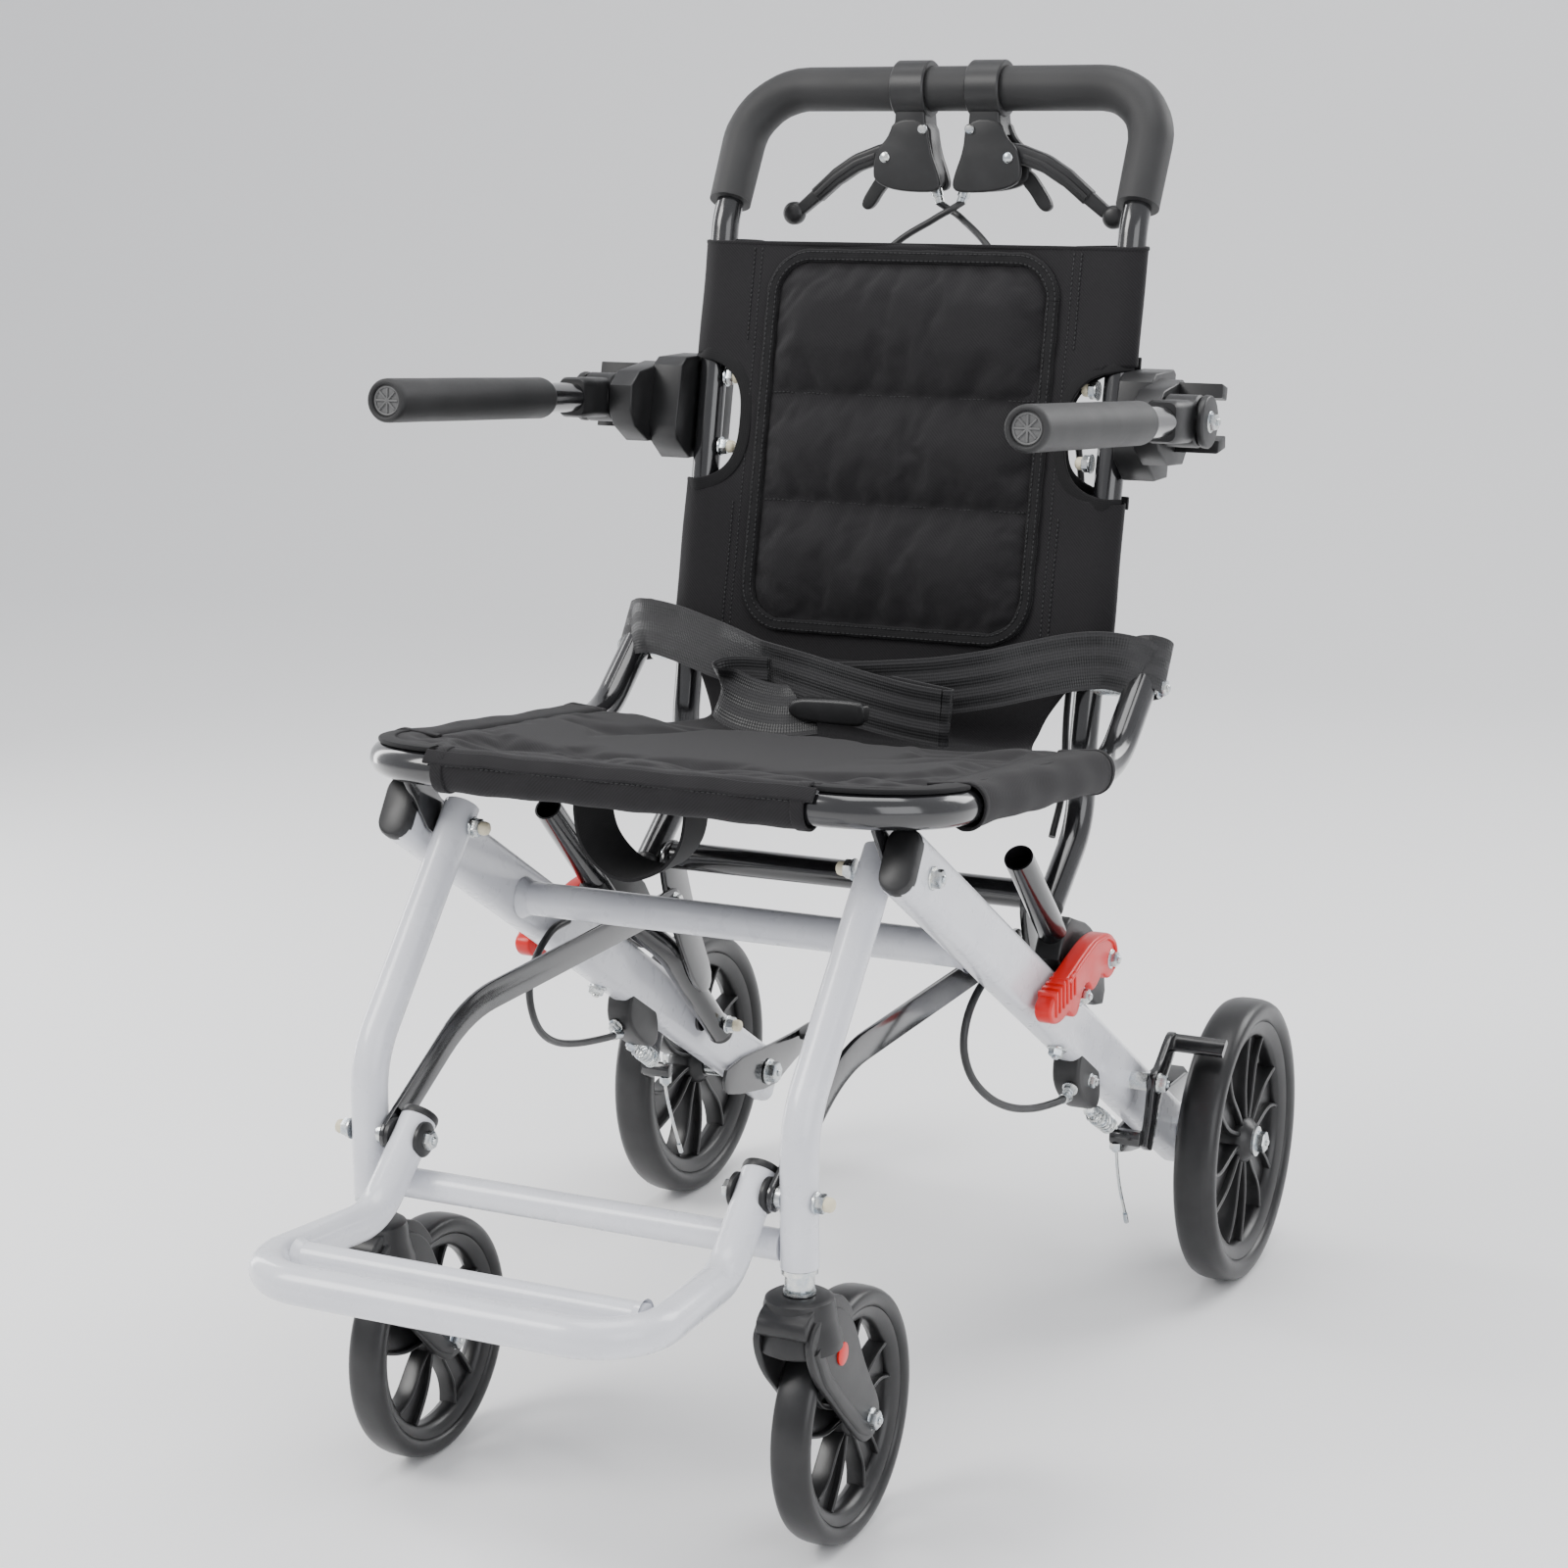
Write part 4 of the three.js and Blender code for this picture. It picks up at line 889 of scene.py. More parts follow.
for side, s in SIDES:
    centre = (s * WHEEL_X, 0, 100)
    wheel(f"rear_{side}", centre, 100, 30, 6, 17, f"rear_wheel_{side}",
        (f"rear_rim_{side}", f"rear_tyre_{side}"))
    ring = lathe(f"rear_bearing_{side}", (s * (WHEEL_X + 14), 0, 100), (s, 0, 0),
        [(6, 0), (10.8, 0), (10.8, 1.6), (9.4, 2.2), (6, 2.2)], f"rear_wheel_{side}", BRASS,
        sides=40)
    axle = bolt(f"axle_end_{side}", (s * (WHEEL_X + 15), 0, 100), (s, 0, 0), "frame", 13, 6, 8)
    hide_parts(f"axle_bolt_{side}")
    lathe(f"axle_shank_{side}", (s * 148, 0, 100), (s, 0, 0), [(0, 0), (5, 0), (5, 86), (0, 86)], "frame",
        ZINC, sides=20)
    lathe(f"axle_spacer_{side}", (s * 175.5, 0, 100), (s, 0, 0), [(5, 0), (9, 0), (9, 26), (5, 26)],
        "frame", ZINC, sides=24)
    bolt(f"axle_nut_{side}", (s * 150.8, 0, 100), (-s, 0, 0), "frame", 14, 7, 10)
    # Tipping lever behind the wheel: a bent flat bar with a foot pad.
    low, high = sorted((s * 151.6, s * 154.6))
    lever = [(-74, 108), (-62, 98), (12, 84), (34, 92), (88, 104), (92, 118), (30, 118), (-66, 124)]
    pedal = slab(f"pedal_{side}", lever, low, high, "frame", BLACK, bevel=0.8, rounds=1)
    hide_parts(f"tipping_pedal_{side}")
    low, high = sorted((s * 127, s * 154))
    slab(f"pedal_step_{side}", [(low, 47), (high, 47), (high, 93), (low, 93)], 112.5, 118, "frame", PLASTIC,
        axis="z", bevel=1.5, rounds=1)

for side, s in SIDES:
    centre = (s * 140, -501, 75)
    wheel(f"caster_{side}", centre, 75, 24, 5, 12.5, f"caster_wheel_{side}",
        (f"caster_rim_{side}", f"caster_tyre_{side}"))
    body = f"caster_{side}"
    # Fork: a turned crown that flows into two broad cheeks over the wheel.
    crown = lathe("c", (s * 140, STEM_AT.y, 0), (0, 0, 1),
                  [(0, 168.8), (9.8, 168.8), (16.5, 168.6), (19.4, 166.8), (20.4, 163), (20.9, 157),
                      (22.4, 150), (24.2, 144), (24.4, 139), (20, 136.5), (0, 136.5)],
                  None, PLASTIC, sides=56)
    parts = [crown]
    cheek = [(-582, 152), (-581, 140), (-572, 124), (-556, 108), (-532, 84), (-514, 66), (-503, 61.5),
        (-492, 64), (-487, 73),
             (-489, 84), (-500, 100), (-511, 118), (-518, 134), (-528, 150), (-545, 160), (-566, 162)]
    for face in (-1, 1):
        low, high = sorted((s * 140 + face * 13.6, s * 140 + face * 18.2))
        parts.append(slab("k", cheek, low, high, None, PLASTIC, bevel=1.7, rounds=2, segments=3))
        # A thicker rib down the cheek's front edge, as on the moulding.
        ridge = [(s * 140 + face * 17.6, y, z) for y,
            z in ((-573, 144), (-561, 122), (-537, 97), (-515, 76), (-503, 70))]
        verts, faces, _ = sweep(rounded_path(ridge, 30, 5), flat_rounded(4.2, 9, 1.9, 3),
            first_side=(1, 0, 0))
        parts.append(piece("g", verts, faces, None, PLASTIC))
    top = [(-583, 150), (-583, 160), (-572, 166), (-552, 167), (-534, 163), (-522, 152), (-516, 142),
        (-526, 143.5), (-548, 147), (-568, 146)]
    parts.append(slab("t", top, s * 140 - 15.5, s * 140 + 15.5, None, PLASTIC, bevel=4.5, rounds=2,
        segments=4))
    fork = merge(f"fork_{side}", parts, body)
    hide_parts(f"caster_fork_{side}")
    for face in (-1, 1):
        lathe(f"inset_{side}_{'a' if face < 0 else 'b'}", (s * 140 + face * 17.6, -541, 130), (face, 0, 0),
                     [(0, 0), (6.6, 0), (6.6, 1.6), (5.4, 2.2), (0, 2.4)], body, RED,
                         sides=40)
        bolt(f"caster_bolt_{side}_{'a' if face < 0 else 'b'}", (s * 140 + face * 18.2, -501, 75),
            (face, 0, 0), body, 10, 4.2, 6.8)
    lathe(f"caster_axle_{side}", (s * 140 - 18, -501, 75), (1, 0, 0), [(0, 0), (4, 0), (4, 36), (0, 36)],
        body, ZINC, sides=20)


# ---------------------------------------------------------------- seat and backrest frames, grip and armrests
def seat_tube_points():
    side = lambda s: [(s * 186, -113, 466), (s * 186, -190, 402)]
    return side(-1) + [(-186, -500, 432), (186, -500, 432)] + list(reversed(side(1)))


seat_rail = tube("seat_rail", seat_tube_points(), 10.6, "seat", BLACK, corner=60, sides=32,
    step=4)
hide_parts("seat_frame")
for side, s in SIDES:
    low, high = sorted((s * 151.6, s * 154.4))
    tab = [(-448, 398), (-448, 381), (-464, 381), (-478, 402), (-494, 424), (-476, 432), (-462, 414)]
    slab(f"seat_tab_{side}", tab, low, high, "seat", BLACK, bevel=0.7, rounds=1)
    end = (Vector((0, -113, 466)) - Vector((0, -190, 402))).normalized()
    lathe(f"seat_end_{side}", (s * 186, -113, 466), end,
        [(0, -1), (10.7, -1), (10.9, 1), (10.2, 3.6), (7.0, 5.6), (0, 6.2)], "seat", PLASTIC,
        sides=32)


def back_points():
    side = lambda s: [
        (s * 147, KNEE_AT.y - 6, KNEE_AT.z - 5), (s * 147, -141, 350), (s * 147, back_y(405), 405),
        (s * 149.5, -66, 738), (s * 149.5, -17, 826),
    ]
    return side(-1) + list(reversed(side(1)))


back_rail = tube("back_rail", back_points(), 9.5, "backrest", BLACK, corner=50, sides=32,
    step=4)
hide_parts("backrest_frame")
for side, s in SIDES:
    lathe(f"back_pin_{side}", (s * 147, BACK_AT.y, BACK_AT.z), (s, 0, 0),
        [(0, 0), (8, 0), (8, 27.5), (4.2, 27.5), (4.2, 52), (0, 52)], "backrest", ZINC, sides=24)
    bolt(f"back_bolt_{side}", (s * 196.4, BACK_AT.y, BACK_AT.z), (s, 0, 0), "backrest", 9.5, 4.6, 6.8)
    tip = (Vector((0, KNEE_AT.y - 6, KNEE_AT.z - 5)) - Vector((0, -141, 350))).normalized()
    lathe(f"back_end_{side}", (s * 147, KNEE_AT.y - 6, KNEE_AT.z - 5), tip,
        [(0, -1), (9.6, -1), (9.6, 1), (8.4, 2.6), (0, 3.2)], "backrest", PLASTIC,
        sides=28)
    lathe(f"knee_pin_{side}", (s * 148, KNEE_AT.y, KNEE_AT.z), (-s, 0, 0),
        [(0, 0), (4, 0), (4, 18), (0, 18)], "backrest", ZINC, sides=16)

# The foam grip follows the handle's two bends, with a rounded lip at each end.
start = lambda s: (s * 149.5, -66 + 0.13 * 49, 738 + 0.13 * 88)
grip_path = rounded_path([start(-1), (-149.5, -17, 826), (149.5, -17, 826), start(1)], 52, 4)
total = len(grip_path) - 1
lip = [0.955, 0.99, 1.0]
verts, faces, uvs = sweep(
    grip_path, circle_section(15.2, 44),
    scale=lambda t: lip[min(2,
        int(round(min(t, 1 - t) * total)))] * (1 + 0.006 * math.sin(t * 37) + 0.004 * math.sin(t * 91)))
grip = piece("foam_grip", verts, faces, "backrest", FOAM, uvs=uvs)
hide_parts("handle_grip")

ARM_TIP = Vector((0, -412, 638))
ARM_DIR = (ARM_TIP - Vector((0, ARM_AT.y, ARM_AT.z))).normalized()
ARM_LENGTH = (ARM_TIP - Vector((0, ARM_AT.y, ARM_AT.z))).length


def arm_at(s, reach, lift=0.0):
    return Vector((s * ARM_AT.x, ARM_AT.y, ARM_AT.z)) + ARM_DIR * reach + Vector((0, -ARM_DIR.z,
        ARM_DIR.y)) * -lift


for side, s in SIDES:
    body = f"armrest_{side}"
    rail = tube(f"arm_rail_{side}", [arm_at(s, 14), arm_at(s, ARM_LENGTH - 9)], 10, body, BLACK,
        sides=32)
    hub = lathe(f"arm_hub_{side}", (s * 199, ARM_AT.y, ARM_AT.z), (s, 0, 0),
                [(5.6, 0), (15.5, 0), (16.8, 1.2), (16.8, 20.8), (15.5, 22), (5.6, 22), (5.6, 0)], body,
                    PLASTIC, sides=40)
    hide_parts(f"armrest_tube_{side}")
    shell = flat_rounded(21.5, 27, 5, 4)
    verts, faces, _ = sweep([arm_at(s, 6), arm_at(s, 30), arm_at(s, 44), arm_at(s, 47)], shell,
        first_side=(1, 0, 0), scale=lambda t: 1.0 if t < 0.9 else 0.9)
    piece(f"arm_socket_{side}", verts, faces, body, PLASTIC)
    # Foam sleeve with a rounded lip at the rear and a closed rounded ring at the tip.
    sleeve = lathe(
        f"arm_sleeve_{side}", arm_at(s, 0), ARM_DIR,
        [(10.1, 88.5), (12.4, 88.2), (13.3, 89.4), (13.7, 91.5), (13.62, 130), (13.75, 190), (13.62, 240),
            (13.7, ARM_LENGTH - 5), (13.5, ARM_LENGTH - 2),
         (12.6, ARM_LENGTH - 0.3), (11.4, ARM_LENGTH + 0.2), (10.2, ARM_LENGTH - 0.6),
             (9.7, ARM_LENGTH - 2.2), (9.6, ARM_LENGTH - 8)],
        body, FOAM, sides=56, angle=None)
    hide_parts(f"armrest_foam_{side}")
    plug = lathe(f"arm_plug_end_{side}", arm_at(s, 0), ARM_DIR,
                 [(9.7, ARM_LENGTH - 6), (9.7, ARM_LENGTH - 2.6), (8.9, ARM_LENGTH - 1.9),
                     (8.0, ARM_LENGTH - 2.2), (7.8, ARM_LENGTH - 2.9), (0, ARM_LENGTH - 2.9)],
                 None, GREY, sides=40)
    star = [plug]
    for k in range(4):
        turn = Matrix.Rotation(math.pi * k / 4, 3, ARM_DIR)
        bar_dir = turn @ Vector((1, 0, 0))
        middle = arm_at(s, ARM_LENGTH - 2.7)
        verts, faces, _ = sweep([middle - bar_dir * 7.8, middle + bar_dir * 7.8],
            flat_rounded(1.5, 1.5, 0.5, 2))
        star.append(piece("ray", verts, faces, None, GREY))
    merge(f"arm_tip_{side}", star, body)
    # Bracket: clamp block on the tube, a wedge below it, and the ear with the pivot bolt.
    clamp = [(-106, 575), (-82, 575), (-68, 642), (-72, 645), (-108, 645), (-116, 640), (-126, 600),
        (-124, 590)]
    low, high = sorted((s * 159, s * 182))
    parts = [slab("b", clamp, low, high, None, PLASTIC, bevel=1.3, rounds=0, segments=3)]
    low, high = sorted((s * 141, s * 160))
    parts.append(slab("b2", [(-94, 577), (-82, 577), (-68, 641), (-82, 641)], low, high, None, PLASTIC,
        bevel=1.1, rounds=0))
    low, high = sorted((s * 180, s * 197.8))
    ear = [(-152, 611), (-146, 600), (-128, 588), (-98, 586), (-84, 600), (-84, 632), (-100, 641),
        (-138, 637), (-150, 628)]
    parts.append(slab("e", ear, low, high, None, PLASTIC, bevel=1.3, rounds=0, segments=3))
    low, high = sorted((s * 222.6, s * 227.4))
    cheek = [(ARM_AT.y + 17 * math.cos(a), ARM_AT.z + 17 * math.sin(a)) for a in np.linspace(0, 2 * math.pi,
        20, endpoint=False)]
    parts.append(slab("c", cheek, low, high, None, PLASTIC, bevel=1.4, rounds=0, segments=3))
    low, high = sorted((s * 196, s * 227))
    parts.append(slab("r", [(-110, 631), (-100, 628.5), (-98, 637), (-108, 640)], low, high, None, PLASTIC,
        bevel=1.1, rounds=0))
    parts.append(slab("u", [(-116, 596), (-100, 598), (-100, 606), (-114, 604)], low, high, None, PLASTIC,
        bevel=1.1, rounds=0))
    bracket = merge(f"bracket_{side}", parts, "backrest")
    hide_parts(f"armrest_bracket_{side}")
    bolt(f"arm_pivot_bolt_{side}", (s * 226.8, ARM_AT.y, ARM_AT.z), (s, 0, 0), "backrest", 10, 4.0, 7)
    lathe(f"arm_pivot_pin_{side}", (s * 196, ARM_AT.y, ARM_AT.z), (s, 0, 0),
        [(0, 0), (5, 0), (5, 31), (0, 31)], "backrest", ZINC, sides=20)
    for k, (y, z) in enumerate(((-96, 631), (-106, 584))):
        insert_nut(f"bracket_nut_{side}_{k}", (s * 136.5, y + 4, z), (-s, 0, 0), "backrest")
        if k == 0:
            bolt(f"bracket_bolt_{side}_{k}", (s * 181.8, y + 2, z), (s, 0, 0), "backrest", 8.5, 3.2, 0)

# ---------------------------------------------------------------- brake levers on the handle
BAR = (-17, 826)
for side, s in SIDES:
    lo = lambda a, b: sorted((s * a, s * b))
    flip = lambda pts: [(s * x, z) for x, z in pts]
    low, high = lo(15, 40)
    band = lathe("band", (low, BAR[0], BAR[1]), (1, 0, 0),
                 [(15.4, 0), (18.2, 0), (19.2, 1.2), (19.2, high - low - 1.2), (18.2, high - low),
                     (15.4, high - low), (15.4, 0)], None, PLASTIC, sides=56)
    parts = [band]
    parts.append(slab("neck", flip([(17, 818), (38, 818), (39, 802), (42, 793), (15, 793), (16, 806)]),
        BAR[0] - 11.5, BAR[0] + 11, None, PLASTIC, axis="y", bevel=2.2, rounds=1, segments=3))
    shell = [(15, 806), (39, 806), (44, 793), (52, 786), (55, 773), (54, 763), (38, 757), (9, 756),
        (4, 760), (6, 769), (12, 784)]
    parts.append(slab("front", flip(shell), BAR[0] - 12, BAR[0] - 7.6, None, PLASTIC, axis="y", bevel=1.8,
        rounds=2, segments=3))
    parts.append(slab("back", flip(shell), BAR[0] + 4.2, BAR[0] + 11, None, PLASTIC, axis="y", bevel=1.8,
        rounds=2, segments=3))
    parts.append(slab("spine", flip([(13, 804), (30, 804), (29, 762), (8, 759), (6, 766), (11, 782)]),
        BAR[0] - 9, BAR[0] + 6, None, PLASTIC, axis="y", bevel=0.8, rounds=1))
    parts.append(slab("catch", flip([(48, 773), (56, 771), (63, 762), (72, 748), (68, 743), (62, 745),
        (55, 756), (49, 762)]), BAR[0] + 5, BAR[0] + 11.4, None, PLASTIC, axis="y", bevel=1.4, rounds=2,
        segments=3))
    housing = merge(f"lever_housing_{side}", parts, "backrest")
    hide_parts(f"brake_lever_housing_{side}")
    lathe(f"clamp_screw_{side}", (s * 17.5, BAR[0] - 11.5, 799), (0, -1, 0),
        [(0, 0), (3.4, 0), (3.4, 1.6), (2.6, 2.6), (0, 2.9)], "backrest", ZINC, sides=24)
    lathe(f"lever_pin_{side}", (s * 45.5, BAR[0] - 11.8, 780), (0, -1, 0),
        [(0, 0), (3.6, 0), (3.6, 0.9), (2.8, 1.6), (0, 1.8)], "backrest", ZINC, sides=24)
    lathe(f"adjuster_{side}", (s * 10.5, BAR[0] - 2, 757), (-0.35 * s, -0.1, -1),
        [(0, -1), (4.2, -1), (4.2, 4), (3.4, 4.6), (3.4, 8.5), (0, 8.5)], "backrest", ZINC,
        sides=18)
    # Blade: a tapering curved lever with a raised edge and a ball tip.
    spine_path = [Vector((s * x, BAR[0] - 2, z)) for x,
        z in ((42, 783), (54, 781.5), (70, 776), (86, 766), (101, 753.5), (113, 744))]
    width_at = [(0.0, 15.0), (0.2, 13.0), (0.55, 12.2), (0.85, 11.0), (1.0, 9.0)]
    def blade_width(t):
        for (a, wa), (b, wb) in zip(width_at, width_at[1:]):
            if t <= b:
                return lerp(wa, wb, (t - a) / (b - a))
        return width_at[-1][1]
    path = rounded_path(spine_path, 30, 3)
    section = flat_rounded(10.4, 12.2, 2.4, 4)
    verts, faces, _ = sweep(path, section, first_side=(0, 1, 0), scale=lambda t: blade_width(t) / 12.6)
    blade = piece("blade", verts, faces, None, PLASTIC)
    groove = [p + Vector((0, -5.4, 0)) for p in path[3:-4]]
    verts, faces, _ = sweep(groove, flat_rounded(1.2, 3.6, 0.5, 2), first_side=(0, 1, 0))
    ball = lathe("ball", (s * 119, BAR[0] - 2 - 5.6, 741), (0, 1, 0),
        [(0, 0), (4.5, 0.2), (7.0, 1.4), (8.0, 3.4), (8.0, 7.6), (7.0, 9.8), (4.5, 11), (0, 11.2)], None,
        PLASTIC, sides=36)
    lever = merge(f"lever_blade_{side}", [blade, ball, piece("groove", verts, faces, None, PLASTIC)],
        f"brake_lever_{side}")
    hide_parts(f"brake_lever_blade_{side}")

# ---------------------------------------------------------------- brake cables, springs and arms
def spline(points, count):
    """Points of a smooth curve through the given points."""
    pts = [Vector(p) for p in points]
    ext = [pts[0] * 2 - pts[1]] + pts + [pts[-1] * 2 - pts[-2]]
    out = []
    spans = len(pts) - 1
    for i in range(count + 1):
        u = i / count * spans
        k = min(spans - 1, int(u))
        t = u - k
        p0, p1, p2, p3 = ext[k], ext[k + 1], ext[k + 2], ext[k + 3]
        square = (2 * p0 - 5 * p1 + 4 * p2 - p3) * t * t
        cube = (3 * p1 - p0 - 3 * p2 + p3) * t ** 3
        out.append(0.5 * ((2 * p1) + (p2 - p0) * t + square + cube))
    return out


def cord_piece(name, points, radius, body, material, count=120, sides=14):
    verts, faces, uvs = sweep(spline(points, count), circle_section(radius, sides))
    return piece(name, verts, faces, body, material, uvs=uvs)


for side, s, cross_y in (("right", 1, -26), ("left", -1, -16)):
    points = [
        (9.5, BAR[0] - 3, 750), (3, cross_y, 745), (-9, cross_y - 3, 738), (-38, -38, 718), (-76, -54, 672),
        (-108, -68, 620), (-124, -86, 560), (-128, -104, 480), (-128, -118, 420), (-130, -128, 372),
            (-131, -150, 342),
    ]
    upper = cord_piece(f"cable_upper_{side}", [(s * x, y, z) for x, y, z in points], 2.4, "backrest",
        RUBBER)
    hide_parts(f"brake_cable_upper_{side}")

for side, s in SIDES:
    points = [
        (151.5, -300, 289), (151.5, -322, 287), (151.5, -343, 274), (152, -351, 256), (154, -344, 236),
            (158, -326, 218),
        (162, -300, 204), (165, -268, 194), (166, -232, 187), (166, -203, 183),
    ]
    lower = cord_piece(f"cable_lower_{side}", [(s * x, y, z) for x, y, z in points], 2.5, "frame", RUBBER)
    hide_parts(f"brake_cable_lower_{side}")
    # Clip: a saddle under the stay with two small bolts and the cable's threaded end.
    low, high = sorted((s * 155.6, s * 174.6))
    strap = [(-210, 198), (-204, 186), (-190, 174), (-176, 166), (-167, 170), (-166, 182), (-170, 196),
        (-178, 206), (-196, 217), (-206, 214)]
    clip = slab(f"clip_{side}", strap, low, high, "frame", PLASTIC, bevel=2.4, rounds=2,
        segments=3)
    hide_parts(f"cable_clamp_{side}")
    bolt(f"clip_bolt_{side}_a", (s * 173.5, -186, 190), (s, 0, -0.1), "frame", 7.5, 3.6, 5.2)
    bolt(f"clip_bolt_{side}_b", (s * 168, -207, 190), (0, -1, -0.4), "frame", 7.5, 3.6, 5.2)
    bolt(f"clip_bolt_{side}_c", (s * 171, -178, 168), (s * 0.4, -0.4, -1), "frame", 7.5, 3.6, 0)
    lathe(f"ferrule_{side}", (s * 166, -215, 184.8), (0, 1, -0.12),
        [(2.6, 0), (3.4, 0.3), (3.4, 10), (2.6, 10)], "frame", ZINC, sides=20)
    # Return spring with its wire, ending short of the brake arm's lug.
    a, b = Vector((s * 171, -169, 162)), Vector((s * 173, -143, 146))
    along = b - a
    nx = Vector((1, 0, 0))
    ny = along.normalized().cross(nx)
    coil = []
    for i in range(180):
        t = i / 179
        r = 5.6 if 0.06 < t < 0.94 else 4.6
        w = 2 * math.pi * 6 * t
        coil.append(a + along * t + nx * (r * math.cos(w)) + ny * (r * math.sin(w)))
    verts, faces, _ = sweep(coil, circle_section(0.95, 8))
    spring = piece("spring", verts, faces, None, ZINC)
    wire_points = [(s * 168, -190, 176), (s * 171, -169, 162), (s * 173, -142, 146)]
    verts, faces, _ = sweep(wire_points, circle_section(0.8, 8))
    wire = piece("wire", verts, faces, None, ZINC)
    whole = merge(f"return_spring_{side}", [spring, wire], "frame")
    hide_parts(f"brake_spring_{side}")
    # Brake arm: a bent flat bar on the link's bolt, with a bar across the tyre and a lug for the cable.
    body = f"brake_arm_{side}"
    low, high = sorted((s * 188, s * 193.5))
    blade = [(-79, 192), (-70, 195), (-64, 190), (-66, 182), (-80, 170), (-96, 157), (-112, 122),
        (-120, 124), (-127, 130), (-118, 146), (-113, 170), (-106, 176), (-98, 178)]
    parts = [slab("a", blade, low, high, None, BLACK, bevel=0.9, rounds=1)]
    normal = Vector((0, -71, 87)).normalized()
    tangent = Vector((0, 87, 71)).normalized()
    centre = Vector((0, -71, 187))
    section = flat_rounded(13, 4.6, 1.2, 3)
    pad_path = rounded_path([(s * 189.5, centre.y, centre.z), (s * 229, centre.y, centre.z)], 4, 4)
    verts, faces, _ = sweep([Vector(p) for p in pad_path], section, first_side=tangent)
    parts.append(piece("p", verts, faces, None, BLACK))
    low, high = sorted((s * 168, s * 189.5))
    parts.append(slab("l", [(-131, 129), (-123, 129), (-122, 139), (-130, 139)], low, high, None, BLACK,
        bevel=0.8, rounds=1))
    arm = merge(f"arm_{side}", parts, body)
    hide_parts(f"brake_arm_{side}")
    bolt(f"wire_stop_{side}", (s * 172, -127, 129.2), (0, 0, -1), body, 7.5, 5, 0)
    tail = [(s * 172.5, -127, 141), (s * 172.3, -126, 120), (s * 172, -118, 96), (s * 172.5, -104, 68)]
    verts, faces, _ = sweep(spline(tail, 24), circle_section(1.15, 8))
    thread = piece("t", verts, faces, None, ZINC)
    sleeve_end = lathe("q", (s * 172.4, -106.4, 72), (0, 0.42, -0.9),
        [(0, 0), (1.7, 0), (1.7, 8), (1.2, 8.6), (0, 8.6)], None, ZINC, sides=14)
    merge(f"wire_tail_{side}", [thread, sleeve_end], body)


# ---------------------------------------------------------------- cloth helpers
def grid_piece(name, rows, body, material, uvs=None, thickness=0.0, angle=None):
    """A mesh from rows of points in millimetres. uvs, in metres, default to the distances along the rows
    and columns."""
    verts, faces, flat = [], [], []
    n, m = len(rows), len(rows[0])
    run = 0.0
    for i, row in enumerate(rows):
        if i:
            run += (Vector(rows[i][m // 2]) - Vector(rows[i - 1][m // 2])).length
        across = 0.0
        for j, p in enumerate(row):
            if j:
                across += (Vector(p) - Vector(row[j - 1])).length
            verts.append(at(*p))
            flat.append((across * MM, run * MM) if uvs is None else uvs[i][j])
    for i in range(n - 1):
        for j in range(m - 1):
            a = i * m + j
            faces.append((a, a + 1, a + m + 1, a + m))
    obj = piece(name, verts, faces, body, material, uvs=flat, angle=angle)
    if thickness:
        solid = obj.modifiers.new("thickness", "SOLIDIFY")
        solid.thickness = thickness * MM
        solid.offset = 0
    return obj


def ribbon(name, points, widths, width, body, material, thickness=1.4, count=None, ease=True):
    """A strap: a band of the given width along points, with its width direction given at each point."""
    pts = spline(points, count or (len(points) - 1) * 8) if ease else [Vector(p) for p in points]
    n = len(pts)
    dirs = [Vector(w).normalized() for w in widths]
    rows = []
    across = 9
    for i, p in enumerate(pts):
        u = i / (n - 1) * (len(dirs) - 1)
        k = min(len(dirs) - 2, int(u))
        d = dirs[k].lerp(dirs[k + 1], u - k).normalized()
        t = (pts[min(n - 1, i + 1)] - pts[max(0, i - 1)]).normalized()
        d = (d - t * d.dot(t)).normalized()
        normal = t.cross(d)
        section = []
        for j in range(across):
            a = j / (across - 1) - 0.5
            section.append(p + d * (a * width) + normal * (thickness / 2))
        for j in reversed(range(across)):
            a = j / (across - 1) - 0.5
            section.append(p + d * (a * width) - normal * (thickness / 2))
        section.append(section[0])
        rows.append(section)
    verts, faces, flat = [], [], []
    m = across * 2
    run = 0.0
    for i, row in enumerate(rows):
        if i:
            run += (pts[i] - pts[i - 1]).length
        for j, p in enumerate(row[:-1]):
            verts.append(at(*p))
            k = j if j < across else m - 1 - j
            flat.append((run * MM, k / (across - 1) * width * MM))
    for i in range(n - 1):
        for j in range(m):
            a, b = i * m + j, i * m + (j + 1) % m
            faces.append((a, b, b + m, a + m))
    faces.append(tuple(reversed(range(m))))
    faces.append(tuple(range((n - 1) * m, n * m)))
    return piece(name, verts, faces, body, material, uvs=flat, angle=50)


